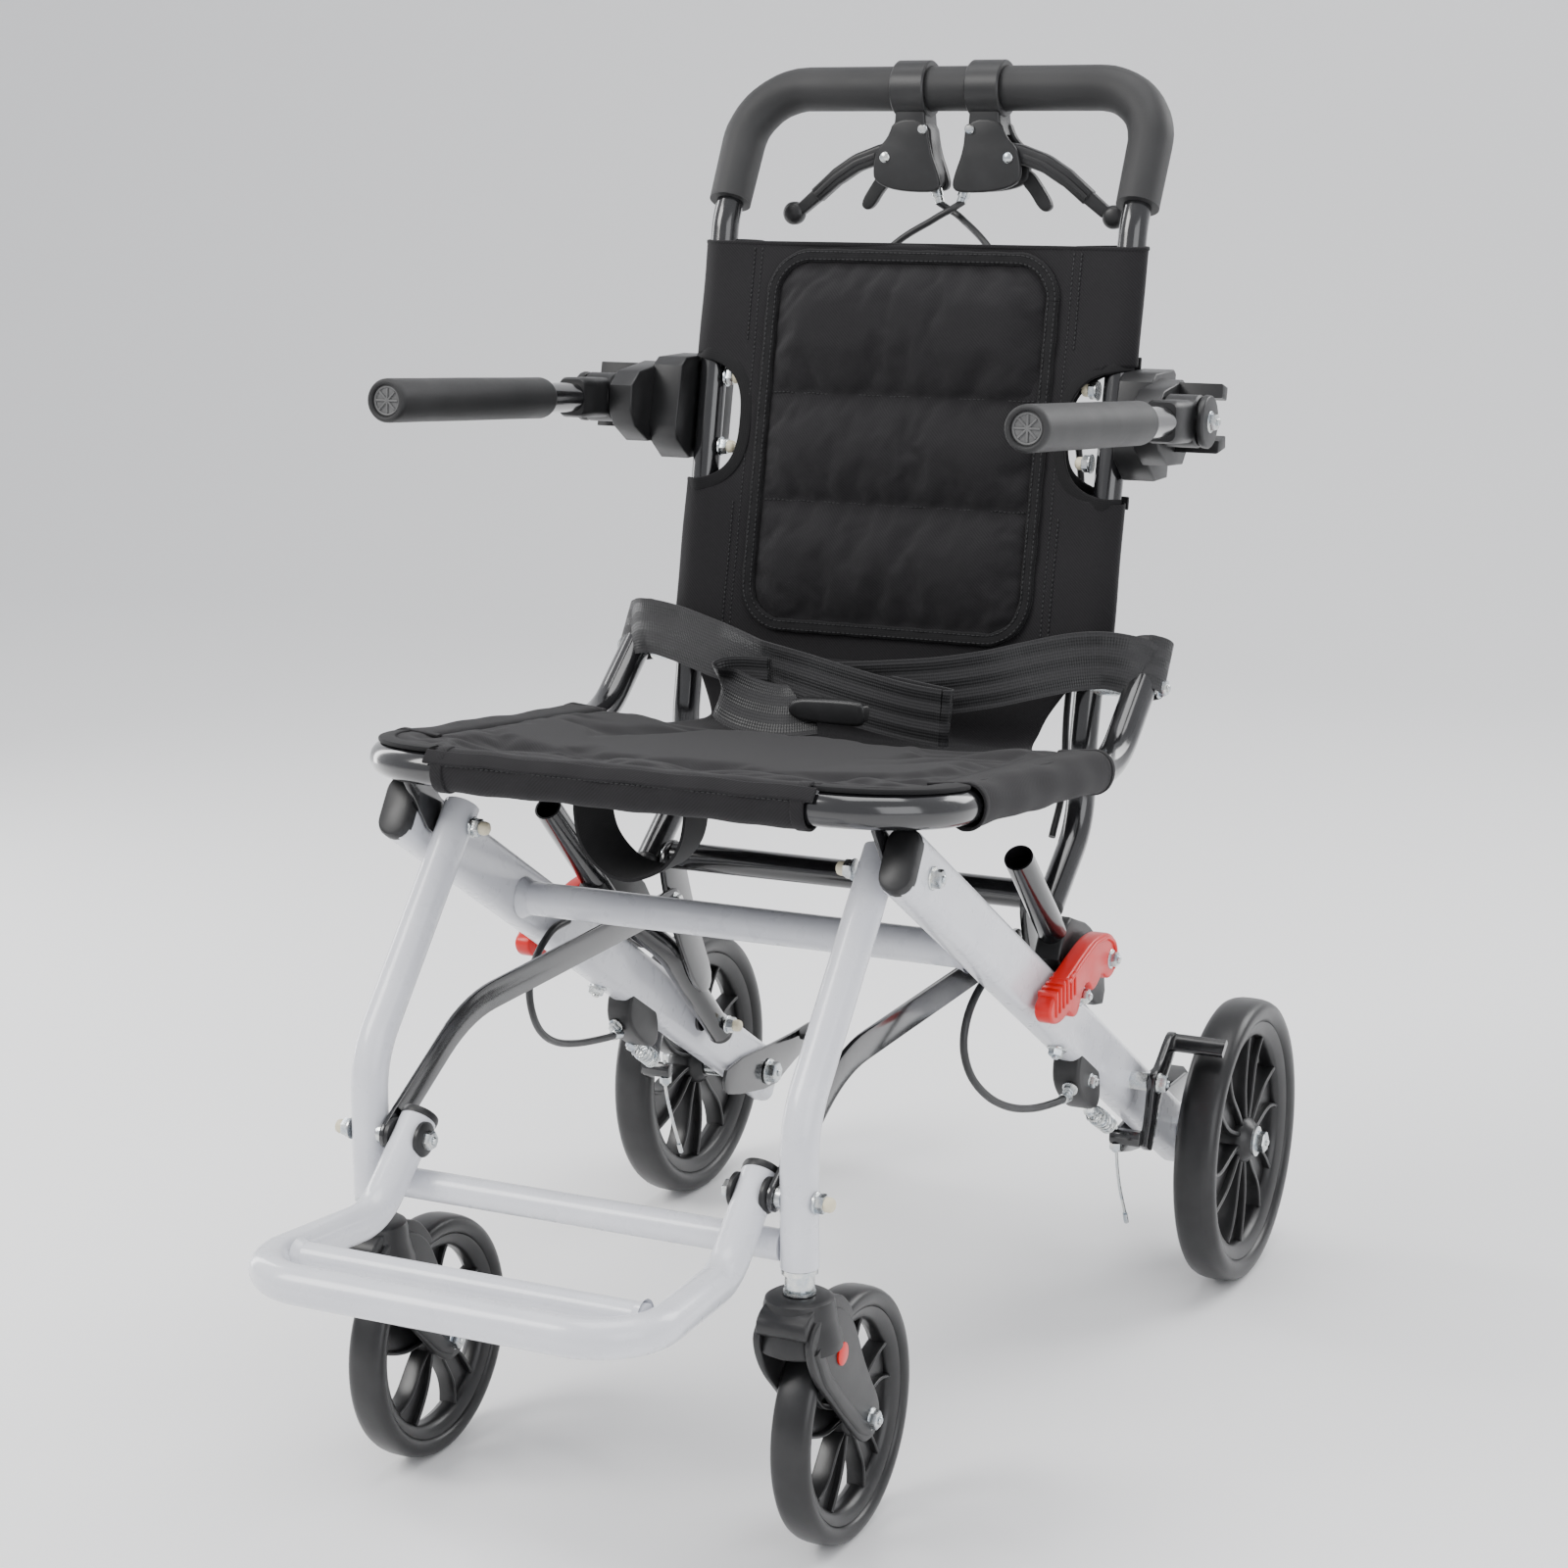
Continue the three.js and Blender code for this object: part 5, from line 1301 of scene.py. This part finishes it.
def stitches(name, points, body, pitch=3.2, size=0.55):
    """A row of short raised threads along points."""
    pts = [Vector(p) for p in points]
    lengths = [0.0]
    for p, q in zip(pts, pts[1:]):
        lengths.append(lengths[-1] + (q - p).length)
    total = lengths[-1]
    count = max(2, int(total / pitch))
    verts, faces = [], []
    k = 0
    for i in range(count):
        ends = []
        for r in ((i + 0.14) * total / count, (i + 0.86) * total / count):
            while k < len(lengths) - 2 and lengths[k + 1] < r:
                k += 1
            t = (r - lengths[k]) / max(1e-6, lengths[k + 1] - lengths[k])
            ends.append(pts[k].lerp(pts[k + 1], t))
        v, f, _ = sweep([ends[0], ends[0].lerp(ends[1], 0.5), ends[1]], circle_section(size, 5),
            scale=lambda t: 0.55 + 0.45 * math.sin(math.pi * (0.15 + 0.7 * t)))
        shift = len(verts)
        verts += v
        faces += [tuple(a + shift for a in face) for face in f]
    return piece(name, verts, faces, body, THREAD, angle=None)


def billow(obj, pinned, pressure, cap, slack=-0.03, frames=20, stiff=12.0):
    """Cloth simulation of a padded sheet: pressure from behind, held where pinned is true, and no gravity."""
    mesh = obj.data
    before = np.array([v.co for v in mesh.vertices], float)
    group = obj.vertex_groups.new(name="held")
    group.add([i for i, held in enumerate(pinned) if held], 1.0, "REPLACE")
    cloth = obj.modifiers.new("cloth", "CLOTH")
    settings = cloth.settings
    settings.quality = 7
    settings.mass = 0.25
    settings.tension_stiffness = stiff
    settings.compression_stiffness = stiff
    settings.shear_stiffness = stiff * 0.5
    settings.bending_stiffness = 0.4
    settings.vertex_group_mass = "held"
    settings.shrink_min = slack
    settings.use_pressure = True
    settings.uniform_pressure_force = pressure
    settings.effector_weights.gravity = 0.0
    cloth.collision_settings.use_collision = False
    cloth.point_cache.frame_start = 1
    cloth.point_cache.frame_end = frames
    for number in range(1, frames + 1):
        scene.frame_set(number)
    graph = bpy.context.evaluated_depsgraph_get()
    settled = obj.evaluated_get(graph).to_mesh()
    after = np.array([v.co for v in settled.vertices], float)
    obj.evaluated_get(graph).to_mesh_clear()
    obj.modifiers.remove(cloth)
    scene.frame_set(1)
    move = after - before
    length = np.linalg.norm(move, axis=1)
    scale = np.minimum(1.0, cap * MM / np.maximum(length, 1e-9))
    final = before + move * scale[:, None]
    mesh.vertices.foreach_set("co", final.astype(np.float32).ravel())
    mesh.update()


def soften(obj, levels=1):
    sub = obj.modifiers.new("soft", "SUBSURF")
    sub.levels = levels
    sub.render_levels = levels


# ---------------------------------------------------------------- backrest cloth
CLOTH_TOP, CLOTH_LOW = 723, 445
SLEEVE_X = 160.3
SEAM_X = 114
HOLE = (603, 45, 115.5)


def front_y(z):
    return back_y(z) - 11.2


def ripple(x, z):
    """Soft unevenness of the cloth, in millimetres."""
    broad = 0.5 * math.sin(x * 0.043 + 1.3) * math.sin(z * 0.051 + x * 0.013)
    return broad + 0.35 * math.sin(z * 0.093 - x * 0.037)


def hole_edge(z):
    """How far in the armrest cut-out reaches at a height."""
    t = abs((z - HOLE[0]) / HOLE[1])
    if t >= 1:
        return 999.0
    return SLEEVE_X + 3 - (SLEEVE_X + 3 - HOLE[2]) * (1 - t ** 2.7) ** (1 / 2.7)


def back_section(z):
    """Half of the cloth's outline at a height, from the middle round the tube to the seam behind it."""
    f = front_y(z)
    b = back_y(z)
    puff = 1.0 + 0.8 * math.sin(z * 0.045) + 0.6 * math.sin(z * 0.11 + 1)
    key = [
        (0, f + 3.2), (60, f + 2.6), (SEAM_X, f + 1.2), (132, f + 0.4), (147, f + 0.2), (155.5, f + 3.5),
        (SLEEVE_X, b - 2.5), (SLEEVE_X - 0.8, b + 4), (154.5, b + 10.2), (146, b + 12.2 + puff),
            (133, b + 10 + puff), (122, b + 3), (SEAM_X, f + 3.4),
    ]
    return key


def catmull(points, count):
    pts = [Vector((p[0], p[1], 0)) for p in points]
    return [(p.x, p.y) for p in spline(pts, count)]


rows, flat = [], []
levels = list(np.arange(CLOTH_LOW, CLOTH_TOP + 0.1, 2.0))
for z in levels:
    half = catmull(back_section(z), 96)
    right = [(x, y + (ripple(x, z) if i < 60 else 0), z) for i, (x, y) in enumerate(half)]
    left = [(-x, y + (ripple(-x, z) if i < 60 else 0), z) for i, (x, y) in enumerate(half)]
    rows.append(list(reversed(left)) + right[1:])
back = grid_piece("backrest_cloth", rows, None, CLOTH)
work = bmesh.new()
work.from_mesh(back.data)
gone = []
for face in work.faces:
    c = mm(face.calc_center_median())
    if abs(c.x) > hole_edge(c.z):
        gone.append(face)
bmesh.ops.delete(work, geom=gone, context="FACES")
bmesh.ops.recalc_face_normals(work, faces=work.faces[:])
work.to_mesh(back.data)
work.free()
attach(back, "backrest")
solid = back.modifiers.new("thickness", "SOLIDIFY")
solid.thickness = 0.9 * MM
solid.offset = 0
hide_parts("backrest_sling")

# Bound edges: round each cut-out, front and back, and along the top hem.
for side, s in SIDES:
    for where, sign in (("front", -1), ("rear", 1)):
        points = []
        for t in np.linspace(-1, 1, 41):
            z = HOLE[0] + HOLE[1] * math.sin(t * math.pi / 2)
            x = min(hole_edge(z), SLEEVE_X - 1.5)
            if sign < 0:
                f = front_y(z)
                y = f + 0.6 + max(0.0, (x - 150)) ** 2 * 0.10
            else:
                b = back_y(z)
                y = b + 12.5 if x > 135 else lerp(front_y(z) + 4.5, b + 12.5, smoothstep(SEAM_X, 135, x))
            points.append(Vector((s * x, y, z)))
        section = flat_rounded(8.6, 2.6, 1.1, 3)
        path = spline(points[::2], 80)
        verts, faces, uvs = sweep(path, section, first_side=(path[0] - path[2]).cross(Vector((0, 1, 0))))
        piece(f"hole_binding_{side}_{where}", verts, faces, "backrest", TAPE, uvs=uvs)
top_pts = [(x, y, CLOTH_TOP - 0.5) for x, y in [(-p[0],
    p[1]) for p in reversed(catmull(back_section(CLOTH_TOP), 60))] + catmull(back_section(CLOTH_TOP),
    60)[1:]]
verts, faces, uvs = sweep(top_pts, flat_rounded(3.0, 2.2, 1.0, 3), first_side=(0, 0, 1))
piece("top_hem", verts, faces, "backrest", CLOTH, uvs=uvs)
for side, s in SIDES:
    for k, x in enumerate((SEAM_X, SEAM_X + 5.5)):
        for part, (low, high) in enumerate(((CLOTH_LOW + 4, HOLE[0] - HOLE[1] - 9),
            (HOLE[0] + HOLE[1] + 9, CLOTH_TOP - 3)) if k else ((CLOTH_LOW + 4, CLOTH_TOP - 3),)):
            zs = np.linspace(low, high, 30)
            stitches(f"sleeve_stitch_{side}_{k}_{part}",
                [(s * x, front_y(z) + (1.2 if k == 0 else 0.7) - 0.5 + ripple(s * x, z), z) for z in zs],
                "backrest")

# Lower flap: it narrows below the sleeves and runs forward on to the seat.
FLAP = [
    (168.0, -252, 409.0), (164, -236, 407.5), (148, -203, 404.0), (125, -170, 402.5), (119, -157, 403.5),
        (120.5, -151.5, 409), (127, -147.5, 424), (141.5, front_y(447) + 2.0, 447),
]
flap_edge = spline(FLAP, 48)
rows = []
for i, p in enumerate(flap_edge):
    row = []
    for t in np.linspace(-1, 1, 61):
        sag = (1 - t * t) * (1.2 + 1.6 * math.sin(math.pi * i / 48))
        lift = 0.8 * math.sin(t * 9 + i * 0.15) * math.sin(math.pi * i / 48)
        row.append((p.x * t, p.y + lift * 0.6, p.z - sag * (1 - smoothstep(30, 44, i)) + lift))
    rows.append(row)
flap = grid_piece("cloth_flap", rows, None, CLOTH, thickness=1.2)
# Padded panel: three pillows between a taped border and two quilted channels.
PAD = {"half": 101.0, "low": 469.0, "high": 714.0, "corner": 26.0, "channels": (551.0, 623.0)}


def pad_inset(x, z):
    """Distance inside the panel's rounded outline."""
    cz = (PAD["low"] + PAD["high"]) / 2
    hx, hz = PAD["half"] - PAD["corner"], (PAD["high"] - PAD["low"]) / 2 - PAD["corner"]
    qx, qz = abs(x) - hx, abs(z - cz) - hz
    outside = math.hypot(max(qx, 0), max(qz, 0)) + min(max(qx, qz), 0)
    return PAD["corner"] - outside


STEP = 3.4
nx = int(2 * PAD["half"] / STEP)
nz = int((PAD["high"] - PAD["low"]) / STEP)
verts, faces, uvs, held, index = [], [], [], [], {}
for i in range(nz + 1):
    for j in range(nx + 1):
        x = -PAD["half"] + 2 * PAD["half"] * j / nx
        z = PAD["low"] + (PAD["high"] - PAD["low"]) * i / nz
        d = pad_inset(x, z)
        if d < -0.4:
            continue
        near = min(abs(z - c) for c in PAD["channels"])
        h = 7.5 * (1 - math.exp(-max(d - 4, 0) / 11.0)) * (1 - 0.93 * math.exp(-(near / 7.0) ** 2))
        jitter = 0.35 * math.sin(x * 0.31 + z * 0.17) + 0.25 * random.uniform(-1, 1)
        index[i, j] = len(verts)
        verts.append(at(x, front_y(z) + 1.2 - h - (jitter if d > 6 else 0) * 0.5, z))
        uvs.append((x * MM, z * MM))
        held.append(d < 5.5 or near < 2.2)
for i in range(nz):
    for j in range(nx):
        quad = [index.get(k) for k in ((i, j), (i, j + 1), (i + 1, j + 1), (i + 1, j))]
        if None not in quad:
            faces.append(quad)
pad = piece("back_pad", verts, faces, None, CLOTH, uvs=uvs, angle=None)
billow(pad, held, 5.0, 7.0, slack=-0.05)
soften(pad)
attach(pad, "backrest")


def pad_outline(inset):
    """Points round the panel's outline, moved inward by inset."""
    cz = (PAD["low"] + PAD["high"]) / 2
    hx, hz = PAD["half"] - PAD["corner"], (PAD["high"] - PAD["low"]) / 2 - PAD["corner"]
    r = PAD["corner"] - inset
    out = []
    for sx, sz, start in ((1, 1, 0), (-1, 1, 90), (-1, -1, 180), (1, -1, 270)):
        for k in range(14):
            a = math.radians(start + 90 * k / 13)
            out.append((sx * hx + r * math.cos(a), cz + sz * hz + r * math.sin(a)))
    out.append(out[0])
    return out


border = [Vector((x, front_y(z) - 0.6, z)) for x, z in pad_outline(-1.2)]
dense = []
for p, q in zip(border, border[1:]):
    steps = max(1, int((q - p).length / 4))
    dense += [p.lerp(q, k / steps) for k in range(steps)]
dense.append(border[0].copy())
wobble = [p + Vector((0.25 * math.sin(i * 0.9), 0.22 * math.sin(i * 1.3), 0.25 * math.cos(i * 1.1))) for i,
    p in enumerate(dense[:-1])]
wobble.append(wobble[0])
verts, faces, uvs = sweep(wobble, flat_rounded(8.6, 4.2, 1.9, 4), first_side=(1, 0, 0), caps=False)
piece("pad_binding", verts, faces, "backrest", TAPE, uvs=uvs)
for k, inset in enumerate((-3.6, 1.4)):
    line = [(x, front_y(z) - 2.85, z) for x, z in pad_outline(inset)]
    stitches(f"pad_stitch_{k}", line, "backrest", 3.4, 0.5)
for k, level in enumerate(PAD["channels"]):
    line = [(x, front_y(level) + 0.3,
        level + 0.25 * math.sin(x * 0.35)) for x in np.linspace(-PAD["half"] + 5, PAD["half"] - 5, 60)]
    stitches(f"channel_stitch_{k}", line, "backrest", 3.2, 0.55)


# ---------------------------------------------------------------- seat cloth
def seat_z(y):
    return 432 + (y + 500) * (402 - 432) / (-190 + 500)


def half_width(y):
    if y >= -440:
        return 186.0
    return 126 + math.sqrt(max(0.0, 60 ** 2 - (-440 - y) ** 2))


SEAT_SEAMS = (-474.0, -452.0, -437.0)
front_rows = [-500 + 0.0] + [-440 - 60 * math.sin(a) for a in np.linspace(math.pi / 2 * 0.97, 0.05, 16)]
level_rows = list(np.arange(-436, -230, 4.6)) + [-228.0]
ys = front_rows + level_rows
columns = 75
verts, faces, uvs, held = [], [], [], []
for i, y in enumerate(ys):
    w = half_width(y)
    for j in range(columns):
        t = j / (columns - 1) * 2 - 1
        t = math.copysign(abs(t) ** 0.92, t)
        x = w * t
        edge = w - abs(x)
        base = seat_z(y) + 12.4
        sag = 7.5 * smoothstep(0, 110, edge) * smoothstep(0, 70, y + 500)
        near = min(abs(y - q) for q in SEAT_SEAMS)
        quilt = 2.6 * math.exp(-(near / 3.4) ** 2) * smoothstep(10, 26, edge)
        side_seam = 1.8 * math.exp(-((edge - 20) / 3.0) ** 2) * smoothstep(-490, -470, y)
        pleat = 0.0
        corner = math.hypot(abs(x) - 160, y + 470)
        if corner < 46:
            pleat = 1.9 * (1 - corner / 46) * math.sin(math.atan2(y + 510,
                abs(x) - 120) * 15 + (0.8 if x > 0 else 2.1))
        dip = 1.6 * (math.cos(t * math.pi / 2) - 1) if y < -499 else 0
        verts.append(at(x, y,
            base - sag - quilt - side_seam + pleat + dip + 0.25 * math.sin(x * 0.09 + y * 0.05)))
        uvs.append((x * MM, y * MM))
        held.append(edge < 24 or y < -492 or y > -236 or near < 1.8)
for i in range(len(ys) - 1):
    for j in range(columns - 1):
        a = i * columns + j
        faces.append((a, a + 1, a + columns + 1, a + columns))
seat = piece("seat_cloth", verts, faces, None, CLOTH, uvs=uvs, angle=None)
billow(seat, held, 1.6, 4.0, slack=-0.025)
soften(seat)
solid = seat.modifiers.new("thickness", "SOLIDIFY")
solid.thickness = 2.2 * MM
solid.offset = -1
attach(seat, "seat")
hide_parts("seat_sling")
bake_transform(flap)


def tube_wrap(y, s, radius=12.5):
    """The side sleeve's section round the seat tube, from its seam on top to its seam below."""
    out = []
    z = seat_z(y)
    out.append((s * 163, y, z + radius - 2.4))
    out.append((s * 174, y, z + radius - 0.6))
    for a in np.linspace(95, -115, 22):
        r = radius + 0.5 * math.sin(a * 0.05 + y * 0.06) + 0.3 * math.sin(y * 0.13)
        out.append((s * (186 + r * math.cos(math.radians(a))), y, z + r * math.sin(math.radians(a))))
    out.append((s * 172, y, z - 6))
    out.append((s * 165, y, z + 1))
    return out


for side, s in SIDES:
    rows = [tube_wrap(y, s) for y in np.arange(-431, -227, 3.0)]
    rows = [[Vector(p) * 1 for p in tube_wrap(-434, s,
        13.1)]] + rows + [[Vector(p) for p in tube_wrap(-225.5, s, 13.2)]]
    grid_piece(f"seat_sleeve_{side}", rows, "seat", CLOTH, thickness=1.1)
    for end, y in (("front", -434.5), ("rear", -225)):
        loop = spline([Vector(p) for p in tube_wrap(y, s, 13.3)][::2], 60)
        verts, faces, uvs = sweep(loop, flat_rounded(5.0, 1.8, 0.8, 3), first_side=(0, 1, 0))
        piece(f"sleeve_hem_{side}_{end}", verts, faces, "seat", CLOTH, uvs=uvs)
    for k, x in enumerate((160.5, 166.0)):
        stitches(f"seat_stitch_{side}_{k}", [(s * x, y,
            seat_z(y) + 9.3 + 0.6 * k) for y in np.linspace(-428, -232, 30)], "seat")
    # Bound corner of the cloth, over the tube's bend.
    corner = []
    for a in np.linspace(0, math.pi / 2, 22):
        x = 126 + 60 * math.cos(a)
        y = -440 - 60 * math.sin(a)
        corner.append(Vector((s * x, y, seat_z(y) + 11.9)))
    verts, faces, uvs = sweep(corner, flat_rounded(10.5, 2.9, 1.2, 3), first_side=(0.7 * s, -0.7, 0))
    piece(f"corner_binding_{side}", verts, faces, "seat", TAPE, uvs=uvs)

# Front sleeve over the middle of the front tube.
FRONT_HALF = 119
rows = []
for x in np.arange(-FRONT_HALF, FRONT_HALF + 0.1, 4.0):
    row = [(x, -486, 432 + 9.6)]
    for a in np.linspace(78, 300, 24):
        r = 12.5 + 0.35 * math.sin(x * 0.07 + a * 0.03) + 0.25 * math.sin(x * 0.19)
        row.append((x, -500 + r * math.cos(math.radians(a)), 432 + r * math.sin(math.radians(a))))
    row.append((x, -486, 426))
    rows.append(row)
grid_piece("seat_front_sleeve", rows, "seat", CLOTH, thickness=1.2)
fold_line = [Vector((x, -500 - 9.4 + 0.3 * math.sin(x * 0.21),
    432 + 9.0 + 0.35 * math.sin(x * 0.13))) for x in np.linspace(-126, 126, 80)]
verts, faces, uvs = sweep(fold_line, flat_rounded(9.5, 2.4, 1.0, 3), first_side=(0, -0.72, -0.7))
piece("front_fold", verts, faces, "seat", CLOTH, uvs=uvs)
stitches("front_stitch", [(x, -500 - 12.2, 432 + 5.0) for x in np.linspace(-122, 122, 70)], "seat", 3.4,
    0.5)
for s, name in ((1, "right"), (-1, "left")):
    ring = [(s * (FRONT_HALF - 2), -500 + 13.2 * math.cos(math.radians(a)),
        432 + 13.2 * math.sin(math.radians(a))) for a in np.linspace(80, 300, 30)]
    verts, faces, uvs = sweep(ring, flat_rounded(8.0, 1.8, 0.8, 3), first_side=(1, 0, 0))
    piece(f"front_hem_{name}", verts, faces, "seat", CLOTH, uvs=uvs)

# ---------------------------------------------------------------- pull strap
loop_points = [(-36, -468, 430), (-37, -468, 410), (-33, -467, 392), (-20, -466, 378), (-4, -465, 374),
    (12, -464, 379), (24, -463, 393), (28, -462, 411), (28, -461, 430)]
loop = ribbon("strap_loop", loop_points, [(0.12, 1, 0.06)] * 5 + [(-0.1, 1, -0.05)] * 4, 37, "seat", TAPE,
    thickness=1.8, count=80)
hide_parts("pull_strap")

# ---------------------------------------------------------------- lap belt
WRAP_RADIUS = 13.2  # strap round the seat frame's upright


belt_left = ribbon(
    "belt_left",
    [(-192, -136, 449), (-186, -142, 457), (-172, -151, 463), (-143, -160, 461), (-105, -172, 454),
        (-66, -184, 447), (-28, -194, 441), (11, -202, 435), (49, -208, 430), (76, -211, 428)],
    [(0, 0.35, 0.93), (0.05, 0.25, 0.95), (0.1, -0.1, 0.97), (0.2, 0.05, 1), (0.25, 0.1, 1),
        (0.22, -0.22, 1), (0.2, 0.05, 1), (0.2, 0.02, 1), (0.16, -0.05, 1), (0.12, -0.05, 1)],
    38, "seat", WEBBING, count=120)
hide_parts("lap_belt")
ribbon(
    "belt_left_tail",
    [(76, -211, 428), (80, -209, 427.6), (80.5, -205.5, 427.6), (77, -203.6, 428), (60, -203, 430),
        (36, -201, 432.5)],
    [(0.12, -0.05, 1)] * 6, 38, "seat", WEBBING, count=48)
ribbon(
    "belt_right",
    [(194, -134, 449), (188, -141, 457), (179, -147, 461), (164, -152, 463), (144, -159, 461),
        (118, -168, 455), (94, -175, 449), (61, -181, 443), (18, -184, 438), (-14, -186, 435)],
    [(0, 0.35, 0.93), (0, 0.25, 0.95), (-0.05, 0, 0.97), (-0.12, -0.1, 1), (-0.15, 0.05, 1), (-0.2, 0.1, 1),
        (-0.18, 0.0, 1), (-0.12, 0, 1), (-0.05, 0, 1), (0, 0, 1)],
    38, "seat", WEBBING, count=120)
for side, s in SIDES:
    # The strap's end, wrapped once round the seat frame's upright.
    low, high = Vector((s * 186, -131, 447)), Vector((s * 186, -120, 464))
    axis = (high - low).normalized()
    across = Vector((1, 0, 0))
    other = axis.cross(across)
    ring = []
    for a in np.linspace(0, 2 * math.pi, 41):
        round_tube = across * (WRAP_RADIUS * math.cos(a)) + other * (WRAP_RADIUS * math.sin(a))
        ring.append((low + high) / 2 + round_tube + axis * (1.2 * math.sin(a + 1)))
    ribbon(f"belt_wrap_{side}", ring, [axis, axis], 36, "seat", WEBBING, ease=False,
        thickness=1.6)
ribbon(
    "belt_loose",
    [(-20, -194, 424), (-44, -200, 421), (-66, -203, 424), (-84, -201, 430), (-88, -196, 434),
        (-78, -192, 436), (-58, -190, 436)],
    [(0.3, 0.5, 0.8), (0.25, 0.5, 0.8), (0.2, 0.35, 0.9), (0.1, 0.15, 1), (0, 0, 1), (0, 0, 1), (0, 0, 1)],
    37, "seat", WEBBING, count=60)
for name in ("belt_left", "belt_left_tail", "belt_right", "belt_loose"):
    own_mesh(bpy.data.objects[name])
buckle_parts = [
    slab("b", [(-36, 417.5), (-8, 416), (14, 416), (20, 418), (20, 431), (14, 433), (-8, 433),
        (-36, 431.5)], -206, -193, None, PLASTIC, axis="y", bevel=2.6, rounds=2, segments=3),
    slab("f", [(14, 418.5), (34, 418.5), (37, 420.5), (37, 429.5), (34, 431.5), (14, 431.5)], -205, -194.5,
        None, PLASTIC, axis="y", bevel=2.4, rounds=2, segments=3),
]
buckle = merge("buckle", buckle_parts, "seat")
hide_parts("belt_buckle")


# ---------------------------------------------------------------- floor and light
def area(name, place, target, size, power, color=(1, 1, 1), size_y=None):
    data = bpy.data.lights.new(name, "AREA")
    data.energy = power
    data.color = color
    data.size = size
    if size_y:
        data.shape = "RECTANGLE"
        data.size_y = size_y
    obj = bpy.data.objects.new(name, data)
    scene.collection.objects.link(obj)
    obj.location = place
    direction = Vector(target) - Vector(place)
    obj.rotation_mode = "QUATERNION"
    obj.rotation_quaternion = direction.to_track_quat("-Z", "Y")
    return obj


floor_material, floor_tree, floor_main = shader("studio_floor", (0.92, 0.92, 0.92), 0.75)
tint(floor_tree, floor_main, noise(floor_tree, 2.5, 3), (0.915, 0.915, 0.918), (0.93, 0.93, 0.93))
floor_main.inputs["Specular IOR Level"].default_value = 0.15
work = bmesh.new()
rows = []
profile = [(-6.0, 0.0)] + [(2.6, 0.0)] + [(2.6 + 1.4 * math.sin(a),
    1.4 - 1.4 * math.cos(a)) for a in np.linspace(0.1, math.pi / 2, 16)] + [(4.0, 5.0)]
for x in (-7.0, 7.0):
    rows.append([work.verts.new((x, y, z)) for y, z in profile])
for i in range(len(profile) - 1):
    work.faces.new((rows[1][i], rows[1][i + 1], rows[0][i + 1], rows[0][i]))
mesh = bpy.data.meshes.new("studio_floor")
work.to_mesh(mesh)
work.free()
for polygon in mesh.polygons:
    polygon.use_smooth = True
floor = bpy.data.objects.new("studio_floor", mesh)
scene.collection.objects.link(floor)
mesh.materials.append(floor_material)

world = bpy.data.worlds.new("studio")
scene.world = world
world.use_nodes = True
world.node_tree.nodes["Background"].inputs["Color"].default_value = (0.95, 0.96, 1.0, 1)
world.node_tree.nodes["Background"].inputs["Strength"].default_value = 0.85
CENTRE = (0, 0, 0.42)
area("key", (-1.6, -1.7, 2.3), CENTRE, 1.3, 62, (1, 0.99, 0.97))
area("fill", (2.2, -1.4, 1.2), CENTRE, 1.8, 26, (0.97, 0.98, 1))
area("top", (0.1, 0.1, 2.7), CENTRE, 1.6, 34)
area("rim", (1.3, 1.9, 1.7), CENTRE, 1.2, 30)
area("strip", (-1.9, 0.5, 0.9), CENTRE, 0.35, 16, size_y=2.0)

write_size()
